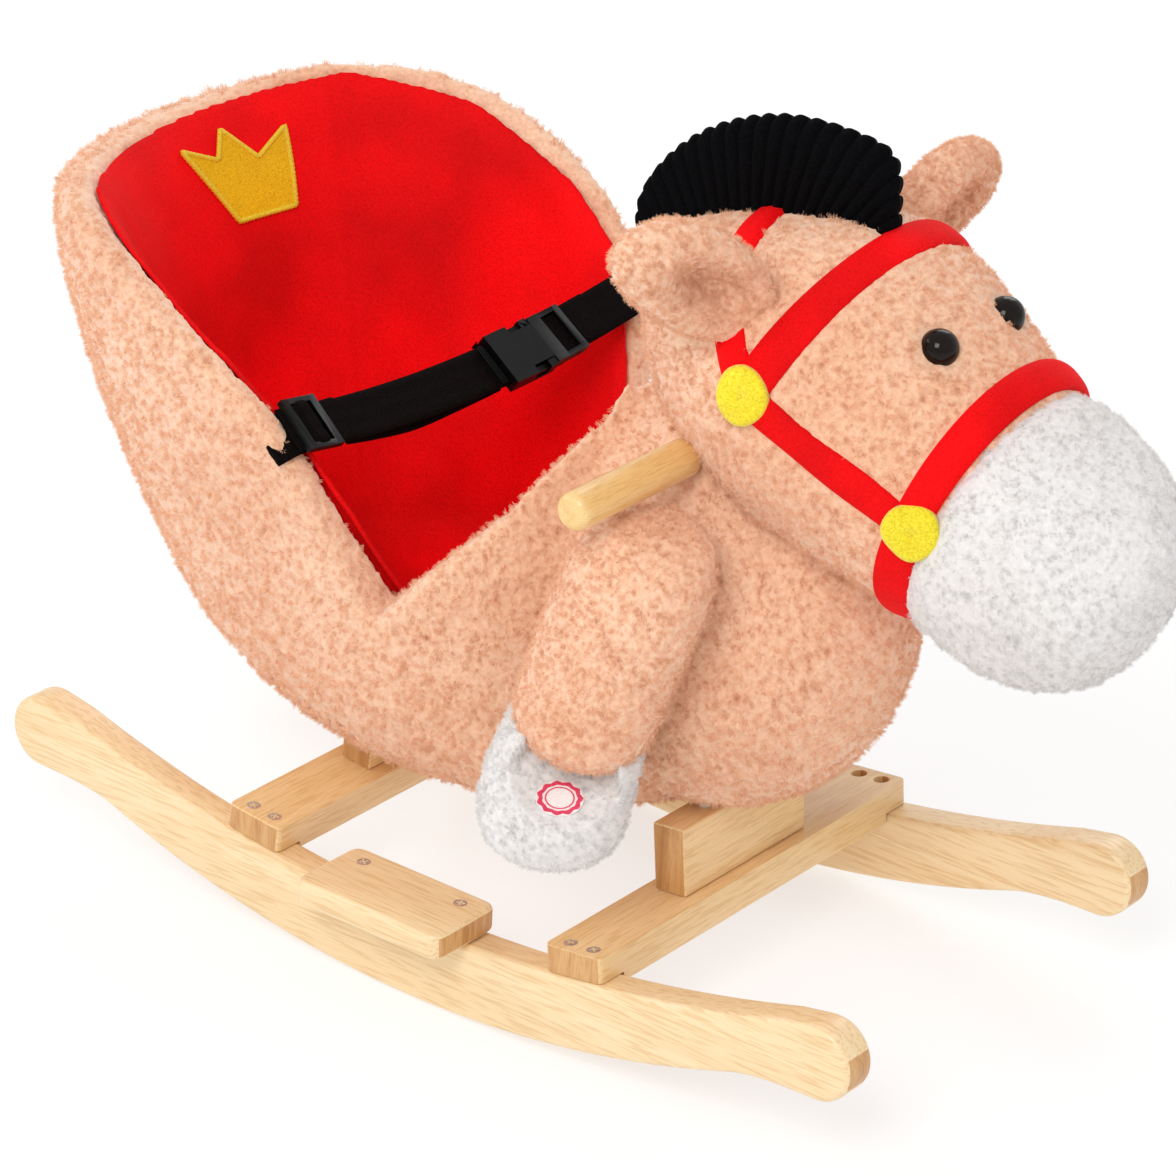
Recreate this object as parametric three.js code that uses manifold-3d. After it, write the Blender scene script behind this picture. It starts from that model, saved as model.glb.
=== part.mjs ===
// Plush rocking horse with a bucket seat, on two bow rockers. Millimetres, +Z up, +X to the nose, +Y to the left.
import * as THREE from 'three';
import { mergeVertices } from 'three/addons/utils/BufferGeometryUtils.js';
import Module from 'manifold-3d';

const wasm = await Module();
wasm.setup();

// ---------- driving dimensions ----------
const FRAME_SHIFT_X = -13.6;        // moves the middle of the whole length to the origin
const GAP = 0.3;                    // clearance between touching pieces
const SIDES = [{ name: 'right', y: -1 }, { name: 'left', y: 1 }];

const ROCKER_SPAN = 260;            // over the outer faces of both rockers
const ROCKER_THICK = 20;
const ROCKER_MID_Y = (ROCKER_SPAN - ROCKER_THICK) / 2;
const ROCKER_BOTTOM_R = 586;
const ROCKER_TOP_R = 780;
const ROCKER_MID_HEIGHT = 41.5;
const ROCKER_ARC_X = 198;           // where the rolling arc ends
const ROCKER_TIP_X = 247;           // centre of the round end
const ROCKER_TIP_Z = 59;
const ROCKER_TIP_R = 19.5;

const BAR_X = 101.6;                // crossbar centres, in front of and behind the middle
const BAR_TOP_Z = 62.5;
const BAR_TILT = THREE.MathUtils.degToRad(5.8);
const BAR_WIDTH = 34.4;
const BAR_LENGTH = 256;
const BAR_THICK = 18;

const BATTEN_THICK = 19;
const BATTEN_LENGTH = 100;
const FRONT_BATTEN_HEIGHT = 36;
const REAR_BATTEN_HEIGHT = 17;

const SCREW_HEAD_R = 3.8;
const SCREW_SHANK_R = 1.8;
const SCREW_LENGTH = 32;
const SCREW_SPACING = 14;
const SUNK_SCREW_DEPTH = 4;         // the far front screw sits below the surface
const BOLT_R = 3;
const BOLT_HEAD_R = 6.5;
const BOLT_HEAD_HEIGHT = 4;
const BOLT_SPACING = 39;

const FOOTREST = { x: -5, length: 91, innerY: 108, outerY: 156, bottomZ: 43.7, thick: 14, corner: 7 };
const FOOTREST_SCREW_SPACING = 62;

const SEAT_TILT = THREE.MathUtils.degToRad(5.8);
const SEAT_PLANE_Z = 88.9;          // height of the plush bottom at SEAT_PLANE_X
const SEAT_PLANE_X = -3;
const BOARD = { thick: 12, lift: 8, rearX: -146, frontX: 112, rearHalf: 24, half: 44, frontHalf: 26, taperFrom: [-120, 50] };
const RIM_ROLL = THREE.MathUtils.degToRad(4);  // the soft rim stands higher on the left
const FOAM_THICK = 32;
const FOAM_X = -100;
const FOAM_RADIUS = 78;
const LINING_THICK = 4;

const HANDLE_X = 105;
const HANDLE_Z = 303;
const GRIP_R = 9.5;
const GRIP_INNER_Y = 62;
const GRIP_OUTER_Y = 151;
const ROD_R = 5;
const POST = { x: 92, length: 46, width: 36, topZ: 330 };

const LEG_PIVOT = [120, 262];       // x and z of the shoulder seam's axis
const LEG_SWING = THREE.MathUtils.degToRad(8);

const WEB_WIDTH = 25;
const WEB_THICK = 1.6;
const WEB_LEAN = THREE.MathUtils.degToRad(-36);
const BELT_NEAR = [-82, -139, 282];
const BELT_FAR = [-68, 129, 284];
const BELT_SAG = 12;
const SOCKET_AT = [0.557, 0.707];    // fractions of the belt's length, from the near end
const PLUG_AT = [0.709, 0.797];
const SLIDER_AT = [0.034, 0.146];

const BAND_WIDTH = 17;
const BAND_PROUD = 2.4;
const DISC_R = 14;
const DISC_THICK = 3;

const PATCH_RADII = [11.5, 9];

// ---------- materials ----------
function material(color, roughness, metalness = 0) {
  return new THREE.MeshStandardMaterial({ color, roughness, metalness });
}

const PINE = material(0xe8c287, 0.5);
const PINE_END = material(0xb98f5e, 0.65);
const PLYWOOD = material(0xcaa675, 0.7);
const PLUSH = material(0xe9b793, 0.95);
const WHITE_PLUSH = material(0xe9e9ea, 0.95);
const RED_VELBOA = material(0xd90f14, 0.8);
const YELLOW_FELT = material(0xf0dc10, 0.9);
const GOLD_THREAD = material(0xd9b80c, 0.7);
const CORDUROY = material(0x0c0c10, 0.9);
const WEBBING = material(0x17120f, 0.85);
const BUCKLE_PLASTIC = material(0x101114, 0.4);
const EYE_PLASTIC = material(0x1a0d08, 0.1);
const ZINC = material(0xb9bcc0, 0.35, 1);
const FOAM = material(0xf2efe2, 0.9);
const MODULE_PLASTIC = material(0xf4f4f0, 0.5);
const PATCH_CLOTH = material(0xf7e9e9, 0.8);

// ---------- solids ----------
function toSolid(geometry) {
  const bare = geometry.clone();
  bare.deleteAttribute('normal');
  bare.deleteAttribute('uv');
  const merged = mergeVertices(bare, 1e-4);
  const mesh = new wasm.Mesh({
    numProp: 3,
    vertProperties: new Float32Array(merged.attributes.position.array),
    triVerts: new Uint32Array(merged.index.array),
  });
  mesh.merge();
  return outward(new wasm.Manifold(mesh));
}

// The same solid with its faces looking outwards.
function outward(solid) {
  if (solid.volume() >= 0) return solid;
  const mesh = solid.getMesh();
  mesh.triVerts = mesh.triVerts.map((_, i, all) => all[i - (i % 3) + 2 - (i % 3)]);
  return new wasm.Manifold(mesh);
}

// The largest closed body of a solid, without the slivers a cut leaves beside it.
function mainBody(solid) {
  return solid.decompose().reduce((best, body) => (body.volume() > best.volume() ? body : best));
}

function toGeometry(solid) {
  const mesh = solid.getMesh();
  const geometry = new THREE.BufferGeometry();
  geometry.setAttribute('position', new THREE.BufferAttribute(mesh.vertProperties, 3));
  geometry.setIndex(new THREE.BufferAttribute(mesh.triVerts, 1));
  return geometry;
}

function part(name, shape, look) {
  const geometry = toGeometry(mainBody(shape.isBufferGeometry ? toSolid(shape) : shape));
  const mesh = new THREE.Mesh(geometry, look);
  mesh.name = name;
  return mesh;
}

function outline(points) {
  return new THREE.Shape(points.map(([x, y]) => new THREE.Vector2(x, y)));
}

// A side outline in x and z, as a plate from lowY to highY.
function sidePlate(points, lowY, highY, bevel = 0) {
  const geometry = new THREE.ExtrudeGeometry(outline(points), {
    depth: highY - lowY - 2 * bevel,
    bevelEnabled: bevel > 0,
    bevelSize: bevel,
    bevelThickness: bevel,
    bevelOffset: -bevel,
    bevelSegments: 1,
  });
  return geometry.rotateX(Math.PI / 2).translate(0, highY - bevel, 0);
}

// A plan outline in x and y, standing up from lowZ.
function plate(points, lowZ, thick, bevel = 0) {
  const geometry = new THREE.ExtrudeGeometry(outline(points), {
    depth: thick - 2 * bevel,
    bevelEnabled: bevel > 0,
    bevelSize: bevel,
    bevelThickness: bevel,
    bevelOffset: -bevel,
    bevelSegments: 1,
  });
  return geometry.translate(0, 0, lowZ + bevel);
}

function arc(cx, cy, r, from, to, steps) {
  const points = [];
  for (let i = 0; i <= steps; i += 1) {
    const a = from + ((to - from) * i) / steps;
    points.push([cx + r * Math.cos(a), cy + r * Math.sin(a)]);
  }
  return points;
}

function roundedRectangle(x0, x1, y0, y1, r, steps = 3) {
  const q = Math.PI / 2;
  return [
    ...arc(x1 - r, y0 + r, r, -q, 0, steps),
    ...arc(x1 - r, y1 - r, r, 0, q, steps),
    ...arc(x0 + r, y1 - r, r, q, 2 * q, steps),
    ...arc(x0 + r, y0 + r, r, 2 * q, 3 * q, steps),
  ];
}

// Turned about +Z: profile rows are [radius, z], from the bottom of the axis to its top.
function turned(profile, segments = 8) {
  const geometry = new THREE.LatheGeometry(profile.map(([r, z]) => new THREE.Vector2(r, z)), segments);
  return geometry.rotateX(Math.PI / 2);
}

// A closed skin over rings that all have the same number of points.
function skin(rings) {
  const n = rings[0].length;
  const vertices = rings.flat().flatMap((p) => [p.x, p.y, p.z]);
  const faces = [];
  for (let i = 0; i + 1 < rings.length; i += 1) {
    for (let j = 0; j < n; j += 1) {
      const k = (j + 1) % n;
      faces.push(i * n + j, i * n + k, (i + 1) * n + k, i * n + j, (i + 1) * n + k, (i + 1) * n + j);
    }
  }
  [rings[0], rings[rings.length - 1]].forEach((ring, end) => {
    const centre = ring.reduce((sum, p) => sum.add(p), new THREE.Vector3()).divideScalar(n);
    const at = vertices.length / 3;
    vertices.push(centre.x, centre.y, centre.z);
    const first = end ? (rings.length - 1) * n : 0;
    for (let j = 0; j < n; j += 1) {
      const k = (j + 1) % n;
      if (end) faces.push(first + j, first + k, at);
      else faces.push(first + k, first + j, at);
    }
  });
  const geometry = new THREE.BufferGeometry();
  geometry.setAttribute('position', new THREE.Float32BufferAttribute(vertices, 3));
  geometry.setIndex(faces);
  return geometry;
}

// An ellipse ring around centre, spanned by two directions.
function ring(centre, across, up, segments) {
  const points = [];
  for (let i = 0; i < segments; i += 1) {
    const a = (2 * Math.PI * i) / segments;
    points.push(centre.clone().addScaledVector(across, Math.cos(a)).addScaledVector(up, Math.sin(a)));
  }
  return points;
}

// Level rings for a tub: rows are [z, rear x, front x, half width], grown outwards by extra.
function tub(rows, extra = 0, segments = 26) {
  const rings = rows.map(([z, rear, front, half]) => {
    const centre = new THREE.Vector3((rear + front) / 2, 0, z);
    const along = new THREE.Vector3((front - rear) / 2 + extra, 0, 0);
    const across = new THREE.Vector3(0, half + extra, 0);
    return ring(centre, along, across, segments);
  });
  return skin(rings);
}

// Rings across a line in the x-z plane: rows are [x, z, pitch in degrees, half width, half height].
function trunk(rows, extra = 0, segments = 20, y = 0) {
  const rings = rows.map(([x, z, pitch, half, high, sideways = 0]) => {
    const a = THREE.MathUtils.degToRad(pitch);
    const across = new THREE.Vector3(0, half + extra, 0);
    const up = new THREE.Vector3(-Math.sin(a), 0, Math.cos(a)).multiplyScalar(high + extra);
    return ring(new THREE.Vector3(x, y + sideways, z), across, up, segments);
  });
  return skin(rings);
}

function ellipsoid(centre, radii, extra = 0, segments = 20) {
  const geometry = new THREE.SphereGeometry(1, segments, Math.round(segments / 2));
  geometry.scale(...radii.map((r) => r + extra));
  return geometry.translate(...centre);
}

function box(x0, x1, y0, y1, z0, z1) {
  return new THREE.BoxGeometry(x1 - x0, y1 - y0, z1 - z0).translate((x0 + x1) / 2, (y0 + y1) / 2, (z0 + z1) / 2);
}

// Leans a shape with the seat: nose up about the seat plane's own reference line.
function leanWithSeat(geometry) {
  return geometry
    .translate(-SEAT_PLANE_X, 0, -SEAT_PLANE_Z)
    .rotateY(-SEAT_TILT)
    .translate(SEAT_PLANE_X, 0, SEAT_PLANE_Z);
}

// ---------- fasteners ----------
function screwShape(extra = 0) {
  return turned([
    [0, -SCREW_LENGTH - extra],
    [SCREW_SHANK_R + extra, -SCREW_LENGTH - extra],
    [SCREW_SHANK_R + extra, -2.6],
    [SCREW_HEAD_R + extra, -0.4],
    [SCREW_HEAD_R + extra, extra],
    [0, extra],
  ]);
}

// The hole a screw leaves above itself when it is sunk.
function counterbore(depth) {
  const r = SCREW_HEAD_R + GAP;
  return turned([[0, -depth], [r, -depth], [r, 1], [0, 1]]);
}

// A bolt with a domed head, standing up from its head's underside at z = 0.
function boltShape(length, extra = 0) {
  return turned([
    [0, -BOLT_HEAD_HEIGHT],
    [BOLT_HEAD_R * 0.6, -BOLT_HEAD_HEIGHT * 0.8],
    [BOLT_HEAD_R, -GAP],
    [BOLT_R + extra, -GAP],
    [BOLT_R + extra, length + extra],
    [0, length + extra],
  ]);
}

// ---------- rockers ----------
function rockerHalf(extra) {
  const bottom = [];
  const reach = Math.asin(ROCKER_ARC_X / ROCKER_BOTTOM_R);
  const r = ROCKER_BOTTOM_R + extra;
  const middleFacet = reach / 19;
  for (let i = 0; i <= 9; i += 1) {
    const a = (reach * (i + 0.5)) / 9.5;
    bottom.push([r * Math.sin(a), ROCKER_BOTTOM_R * Math.cos(middleFacet) - r * Math.cos(a)]);
  }
  const sweep = new THREE.QuadraticBezierCurve(
    new THREE.Vector2(...bottom[bottom.length - 1]),
    new THREE.Vector2(213, ROCKER_TIP_Z - ROCKER_TIP_R - extra),
    new THREE.Vector2(ROCKER_TIP_X, ROCKER_TIP_Z - ROCKER_TIP_R - extra),
  );
  const underTip = sweep.getPoints(4).slice(1, -1).map((p) => [p.x, p.y]);
  const tip = arc(ROCKER_TIP_X, ROCKER_TIP_Z, ROCKER_TIP_R + extra, -Math.PI / 2, Math.PI * 0.56, 8);
  const top = [];
  for (let i = 8; i >= 0; i -= 1) {
    const x = (226 * i) / 8;
    const topR = ROCKER_TOP_R - extra;
    top.push([x, ROCKER_MID_HEIGHT + ROCKER_TOP_R - Math.sqrt(topR * topR - x * x)]);
  }
  return [...bottom, ...underTip, ...tip, ...top];
}

function rockerOutline(extra = 0) {
  const half = rockerHalf(extra);
  const mirrored = half.slice(0, -1).reverse().map(([x, z]) => [-x, z]);
  return [...half, ...mirrored];
}

function rockerBlank(side, bevel, extra = 0) {
  const inner = ROCKER_SPAN / 2 - ROCKER_THICK - extra;
  const outer = ROCKER_SPAN / 2 + extra;
  const [low, high] = side.y < 0 ? [-outer, -inner] : [inner, outer];
  return sidePlate(rockerOutline(extra), low, high, bevel);
}

// ---------- placing things on a crossbar: end is 1 in front, -1 behind ----------
function barMatrix(end) {
  const place = new THREE.Matrix4().makeTranslation(end * BAR_X, 0, BAR_TOP_Z);
  return place.multiply(new THREE.Matrix4().makeRotationY(-end * BAR_TILT));
}

function barScrewPlaces(end) {
  return SIDES.flatMap((side) => [-1, 1].map((step, i) => ({
    name: `${end > 0 ? 'front' : 'rear'}_bar_screw_${side.name}_${i + 1}`,
    x: (step * SCREW_SPACING) / 2,
    y: side.y * ROCKER_MID_Y,
    z: end > 0 && side.y > 0 ? -SUNK_SCREW_DEPTH : 0,
  })));
}

function boltPlaces() {
  return SIDES.map((side) => ({ name: side.name, x: 0, y: (side.y * BOLT_SPACING) / 2 }));
}

function boltLength(end) {
  const batten = end > 0 ? FRONT_BATTEN_HEIGHT : REAR_BATTEN_HEIGHT;
  return BAR_THICK + batten + BOARD.lift + 8;
}

function onBar(end, geometry, x = 0, y = 0, z = 0) {
  return geometry.translate(x, y, z).applyMatrix4(barMatrix(end));
}

function boltHoles(end) {
  return boltPlaces().map(({ x, y }) => toSolid(onBar(end, boltShape(boltLength(end), GAP), x, y, -BAR_THICK)));
}

function cutAll(solid, tools) {
  return tools.reduce((rest, tool) => rest.subtract(tool), solid);
}

function screwHoles(end) {
  return barScrewPlaces(end).flatMap(({ x, y, z }) => {
    const hole = toSolid(onBar(end, screwShape(GAP), x, y, z));
    return z < 0 ? [hole, toSolid(onBar(end, counterbore(-z), x, y, 0))] : [hole];
  });
}

function footScrewPlaces(side) {
  return [-1, 1].map((step, i) => ({
    name: `footrest_screw_${side.name}_${i + 1}`,
    x: FOOTREST.x + (step * FOOTREST_SCREW_SPACING) / 2,
    y: side.y * ROCKER_MID_Y,
    z: FOOTREST.bottomZ + FOOTREST.thick,
  }));
}

function footScrewHoles(side) {
  return footScrewPlaces(side).map(({ x, y, z }) => toSolid(screwShape(GAP).translate(x, y, z)));
}

function rocker(side) {
  const cuts = [...screwHoles(1), ...screwHoles(-1), ...footScrewHoles(side)];
  return part(`rocker_${side.name}`, cutAll(toSolid(rockerBlank(side, 2.5)), cuts), PINE);
}

function crossbar(end) {
  const w = BAR_WIDTH / 2;
  const l = BAR_LENGTH / 2;
  const blank = plate(roundedRectangle(-w, w, -l, l, 5), -BAR_THICK, BAR_THICK, 1.5);
  const laps = SIDES.map((side) => toSolid(rockerBlank(side, 0, GAP)));
  const solid = cutAll(toSolid(onBar(end, blank)), [...laps, ...screwHoles(end), ...boltHoles(end)]);
  return part(end > 0 ? 'front_crossbar' : 'rear_crossbar', solid, PINE);
}

function batten(end) {
  const t = BATTEN_THICK / 2;
  const l = BATTEN_LENGTH / 2;
  const tall = end > 0 ? FRONT_BATTEN_HEIGHT : REAR_BATTEN_HEIGHT + 10;
  const blank = onBar(end, box(-t, t, -l, l, GAP, tall));
  const above = leanWithSeat(box(-400, 400, -200, 200, SEAT_PLANE_Z - GAP, SEAT_PLANE_Z + 200));
  const solid = cutAll(toSolid(blank), [toSolid(above), ...boltHoles(end)]);
  return part(end > 0 ? 'front_batten' : 'rear_batten', solid, PINE_END);
}

function footrest(side) {
  const { x, length, innerY, outerY, bottomZ, thick, corner } = FOOTREST;
  const [low, high] = side.y < 0 ? [-outerY, -innerY] : [innerY, outerY];
  const blank = plate(roundedRectangle(x - length / 2, x + length / 2, low, high, corner), bottomZ, thick, 3);
  return part(`footrest_${side.name}`, cutAll(toSolid(blank), footScrewHoles(side)), PINE);
}

function fasteners() {
  const meshes = [];
  [1, -1].forEach((end) => {
    barScrewPlaces(end).forEach(({ name, x, y, z }) => {
      meshes.push(part(name, onBar(end, screwShape(), x, y, z), ZINC));
    });
    boltPlaces().forEach(({ name, x, y }) => {
      const bolt = onBar(end, boltShape(boltLength(end)), x, y, -BAR_THICK);
      meshes.push(part(`${end > 0 ? 'front' : 'rear'}_seat_bolt_${name}`, bolt, ZINC));
    });
  });
  SIDES.forEach((side) => footScrewPlaces(side).forEach(({ name, x, y, z }) => {
    meshes.push(part(name, screwShape().translate(x, y, z), ZINC));
  }));
  return meshes;
}

// ---------- plush body ----------
const TUB_OUTER = [
  [76, -158, 60, 54], [86, -178, 84, 72], [106, -204, 96, 90], [138, -236, 100, 108], [190, -268, 96, 121],
  [250, -292, 80, 137], [310, -307, 60, 150], [346, -307, 40, 153], [368, -298, 30, 146], [378, -286, 10, 133],
];
const WELL = [
  [136, -198, -18, 86], [160, -206, -8, 92], [200, -218, 6, 103], [250, -233, 26, 116],
  [300, -248, 46, 130], [330, -262, 54, 137], [350, -282, 60, 143], [400, -302, 76, 149],
];
const RIM_CUT = [
  [-400, 345], [-300, 345], [-240, 357], [-180, 344], [-120, 316], [-84, 288], [-62, 242], [-44, 193],
  [-14, 224], [24, 262], [46, 300], [52, 345], [52, 600], [-400, 600],
];
const CHEST = { centre: [86, 0, 208], radii: [106, 88, 112] };
const NECK = { centre: [98, 0, 275], radii: [56, 66, 62] };
const HEAD = [
  [50, 360, 0, 16, 16], [58, 358, 0, 37, 35], [78, 353, -2, 59, 51], [108, 348, -6, 75, 65],
  [145, 342, -12, 83, 79], [180, 328, -18, 79, 77], [212, 312, -22, 71, 69], [236, 301, -22, 65, 65],
];
const MUZZLE = [
  [236.6, 300.8, -22, 65, 65], [258, 292, -22, 66, 67], [281, 282, -22, 62, 65], [301, 274, -22, 53, 56],
  [317, 268, -22, 38, 42], [326, 264, -22, 19, 22],
];
const LEG = [
  [124, 286, 80, 14, 18, 14], [122, 280, 80, 24, 28, 8], [117, 262, 78, 30, 35, 4], [109, 236, 74, 31, 36, 0],
  [98, 200, 72, 31, 35, -3], [91, 178, 75, 31, 34, -5], [90, 170, 77, 31, 34, -6],
];
const HOOF = [
  [89.9, 169.3, 77, 31, 34, -6], [86, 157, 79, 32.5, 36, -7], [83, 146, 80, 33, 37, -8], [80, 128, 84, 33, 37, -9], [78, 112, 88, 27, 30, -9],
  [77, 104, 90, 14, 16, -9],
];
const LEG_Y = 112;

function limb(rows, side, extra = 0, segments = 16) {
  const mirrored = rows.map(([x, z, pitch, half, high, out]) => [x, z, pitch, half, high, -side.y * out]);
  const geometry = trunk(mirrored, extra, segments, side.y * LEG_Y);
  return toSolid(geometry);
}

function legSweep(side) {
  const rows = [...LEG, ...HOOF.slice(1)];
  const still = limb(rows.filter((row, i) => i % 2 === 0 || i > 9), side, 2, 10);
  const [x, z] = LEG_PIVOT;
  const turn = (angle) => {
    const matrix = new THREE.Matrix4().makeTranslation(x, 0, z)
      .multiply(new THREE.Matrix4().makeRotationY(angle))
      .multiply(new THREE.Matrix4().makeTranslation(-x, 0, -z));
    return still.transform(matrix.elements);
  };
  return still.add(turn(LEG_SWING)).add(turn(-LEG_SWING));
}

function seatBoardSolid(extra = 0) {
  const [rearTaper, frontTaper] = BOARD.taperFrom;
  const side = [
    [BOARD.rearX - extra, BOARD.rearHalf + extra], [rearTaper, BOARD.half + extra],
    [frontTaper, BOARD.half + extra], [BOARD.frontX + extra, BOARD.frontHalf + extra],
  ];
  const points = [...side, ...side.map(([x, y]) => [x, -y]).reverse()].reverse();
  return toSolid(leanWithSeat(plate(points, SEAT_PLANE_Z + BOARD.lift - extra, BOARD.thick + 2 * extra)));
}

function seatFoamSolid(extra = 0) {
  const low = SEAT_PLANE_Z + BOARD.lift + BOARD.thick + GAP;
  const [reach, sides] = [FOAM_RADIUS + extra, 20];
  const points = arc(FOAM_X, 0, reach, 0, (2 * Math.PI * (sides - 1)) / sides, sides - 1);
  return toSolid(leanWithSeat(plate(points, low - extra, FOAM_THICK + 2 * extra, extra ? 0 : 4)));
}

function backBoardSolid(extra = 0) {
  const [low, high, thick] = [[-204.5, 155], [-246, 295], 8];
  const points = [
    [low[0] - thick - extra, low[1] - extra], [low[0] + extra, low[1] - extra],
    [high[0] + extra, high[1] + extra], [high[0] - thick - extra, high[1] + extra],
  ];
  return toSolid(sidePlate(points, -52 - extra, 52 + extra));
}

function postSolid(extra = 0) {
  const { x, length, width, topZ } = POST;
  const low = 100;
  const blank = box(x - length / 2 - extra, x + length / 2 + extra, -width / 2 - extra, width / 2 + extra,
    low, topZ + extra);
  const board = leanWithSeat(box(-400, 400, -200, 200, 0, SEAT_PLANE_Z + BOARD.lift + BOARD.thick + GAP));
  return toSolid(blank).subtract(toSolid(board));
}

function alongHandle(profile, segments, sideY) {
  const geometry = turned(profile, segments).rotateX(sideY < 0 ? Math.PI / 2 : -Math.PI / 2);
  return geometry.translate(HANDLE_X, 0, HANDLE_Z);
}

function rodSolid(extra = 0) {
  const l = GRIP_OUTER_Y - 25 + extra;
  const r = ROD_R + extra;
  return toSolid(alongHandle([[0, -l], [r, -l], [r, l], [0, l]], 8, 1));
}

function gripShape(side, extra = 0) {
  const r = GRIP_R + extra;
  const a = GRIP_INNER_Y - extra;
  const b = GRIP_OUTER_Y + extra;
  const profile = [[0, a], [r - 3, a], [r, a + 4], [r, b - 5], [r - 2, b - 1.5], [r - 5, b], [0, b]];
  return toSolid(alongHandle(profile, 12, side.y));
}

function grip(side) {
  return part(`handle_grip_${side.name}`, gripShape(side).subtract(rodSolid(GAP)), PINE);
}

function headSolid(extra = 0) {
  return toSolid(trunk([...HEAD, ...MUZZLE.slice(1)], extra));
}

function wellSolid(extra) {
  const floorCut = leanWithSeat(box(-400, 400, -300, 300, 0, wellFloor() - extra));
  const low = WELL[0][0] - 40;
  const rows = [[low, ...WELL[0].slice(1)], ...WELL];
  return toSolid(tub(rows, extra)).subtract(toSolid(floorCut));
}

function wellFloor() {
  return SEAT_PLANE_Z + BOARD.lift + BOARD.thick + FOAM_THICK + 2 * GAP;
}

function rimTool(drop) {
  const points = RIM_CUT.map(([x, z]) => [x, z + drop]);
  return toSolid(sidePlate(points, -300, 300).rotateX(RIM_ROLL));
}

function bodyPlush() {
  const tubOuter = toSolid(tub(TUB_OUTER));
  const chest = toSolid(ellipsoid(CHEST.centre, CHEST.radii));
  const neck = toSolid(ellipsoid(NECK.centre, NECK.radii));
  const seatPlane = toSolid(leanWithSeat(box(-400, 400, -300, 300, 0, SEAT_PLANE_Z)));
  const front = toSolid(box(70, 400, -300, 300, 0, 400)).subtract(chest).subtract(neck);
  const cuts = [
    seatPlane, front, wellSolid(GAP), rimTool(0), headSolid(1), seatBoardSolid(GAP), seatFoamSolid(GAP),
    backBoardSolid(GAP), postSolid(GAP), rodSolid(GAP), ...SIDES.map((side) => gripShape(side, GAP)),
    ...SIDES.map(legSweep), ...boltHoles(1), ...boltHoles(-1), ...strapSolids(GAP), beltPiece(SLIDER_AT, 40, 12),
  ];
  return part('body_plush', cutAll(tubOuter.add(chest).add(neck), cuts), PLUSH);
}

function seatLining() {
  const cuts = [wellSolid(-LINING_THICK), rimTool(-1), backBoardSolid(GAP), ...strapSolids(GAP)];
  return part('seat_lining', cutAll(wellSolid(0), cuts), RED_VELBOA);
}

function headPlush() {
  const cuts = [postSolid(GAP), rodSolid(GAP), ...SIDES.map((side) => gripShape(side, GAP)), maneSolid(GAP)];
  SIDES.forEach((side) => cuts.push(eyeSolid(side, GAP), earSolid(side, GAP)));
  return part('head_plush', cutAll(toSolid(trunk(HEAD)), cuts), PLUSH);
}

// ---------- head fittings ----------
const MANE_OUTER = [[170, 396], [175, 450], [146, 458], [108, 457], [68, 442], [40, 418], [26, 392], [34, 366]];
const MANE_INNER = [[50, 360], [61, 374], [84, 392], [112, 401], [144, 403]];
const MANE_THICK = 14;
const EYE = { x: 218, y: 27, z: 380.5, r: 9.4 };
const EAR = { baseY: 60, tipY: 147, baseX: 138, tipX: 124, baseZ: 386, tipZ: { right: 432, left: 406 } };

function maneSolid(extra = 0) {
  const half = MANE_THICK / 2 + extra;
  return toSolid(sidePlate([...MANE_OUTER, ...MANE_INNER], -half, half));
}

function eyeSolid(side, extra = 0) {
  return toSolid(ellipsoid([EYE.x, side.y * EYE.y, EYE.z], [EYE.r, EYE.r, EYE.r], extra, 10));
}

function earSolid(side, extra = 0) {
  const rows = [[0, 12, 20], [0.25, 15, 25], [0.5, 15, 26], [0.75, 12, 22], [0.92, 8, 14], [1, 4, 6]];
  const lean = THREE.MathUtils.degToRad(20);
  const rings = rows.map(([t, thick, wide]) => {
    const centre = new THREE.Vector3(
      THREE.MathUtils.lerp(EAR.baseX, EAR.tipX, t),
      side.y * THREE.MathUtils.lerp(EAR.baseY, EAR.tipY, t),
      THREE.MathUtils.lerp(EAR.baseZ, EAR.tipZ[side.name], t) + 16 * t * (1 - t),
    );
    const tall = new THREE.Vector3(Math.sin(lean), 0, Math.cos(lean)).multiplyScalar(wide + extra);
    const flat = new THREE.Vector3(Math.cos(lean), 0, -Math.sin(lean)).multiplyScalar(side.y * (thick + extra));
    return ring(centre, flat, tall, 12);
  });
  return toSolid(skin(rings));
}

// The cloth thickness of every bridle band: the head grown a little, less the head.
function bandShell(grow) {
  return headSolid(BAND_PROUD + grow).subtract(headSolid(GAP - Math.min(grow, GAP)));
}

// A slab in the side view from one point to another, through the given span of y.
function slab([x0, z0], [x1, z1], width, lowY, highY) {
  const length = Math.hypot(x1 - x0, z1 - z0);
  const pitch = Math.atan2(z1 - z0, x1 - x0);
  const blank = box(0, length, lowY, highY, -width / 2, width / 2);
  return toSolid(blank.rotateY(-pitch).translate(x0, 0, z0));
}

const UPPER_DISC = [150, 354];
const LOWER_DISC = [235, 308];
const POLL = [84, 440];
const BROW = [190, 440];
const NOSE_TOP = [262, 392];
const NOSE_BOTTOM = [202, 214];

function headstallSolid(grow = 0) {
  const width = BAND_WIDTH + 2 * grow;
  const cheeks = SIDES.map(({ y }) => {
    const [low, high] = y < 0 ? [-120, -30] : [30, 120];
    return slab(UPPER_DISC, LOWER_DISC, width, low, high);
  });
  const poll = slab([UPPER_DISC[0] + 4, UPPER_DISC[1] - 5], POLL, width, -120, 120);
  return bandShell(grow).intersect(cheeks[0].add(cheeks[1]).add(poll)).subtract(noseSlab(2 * GAP));
}

function noseSlab(grow = 0) {
  return slab(NOSE_BOTTOM, NOSE_TOP, BAND_WIDTH + 2 * grow, -120, 120);
}

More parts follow.
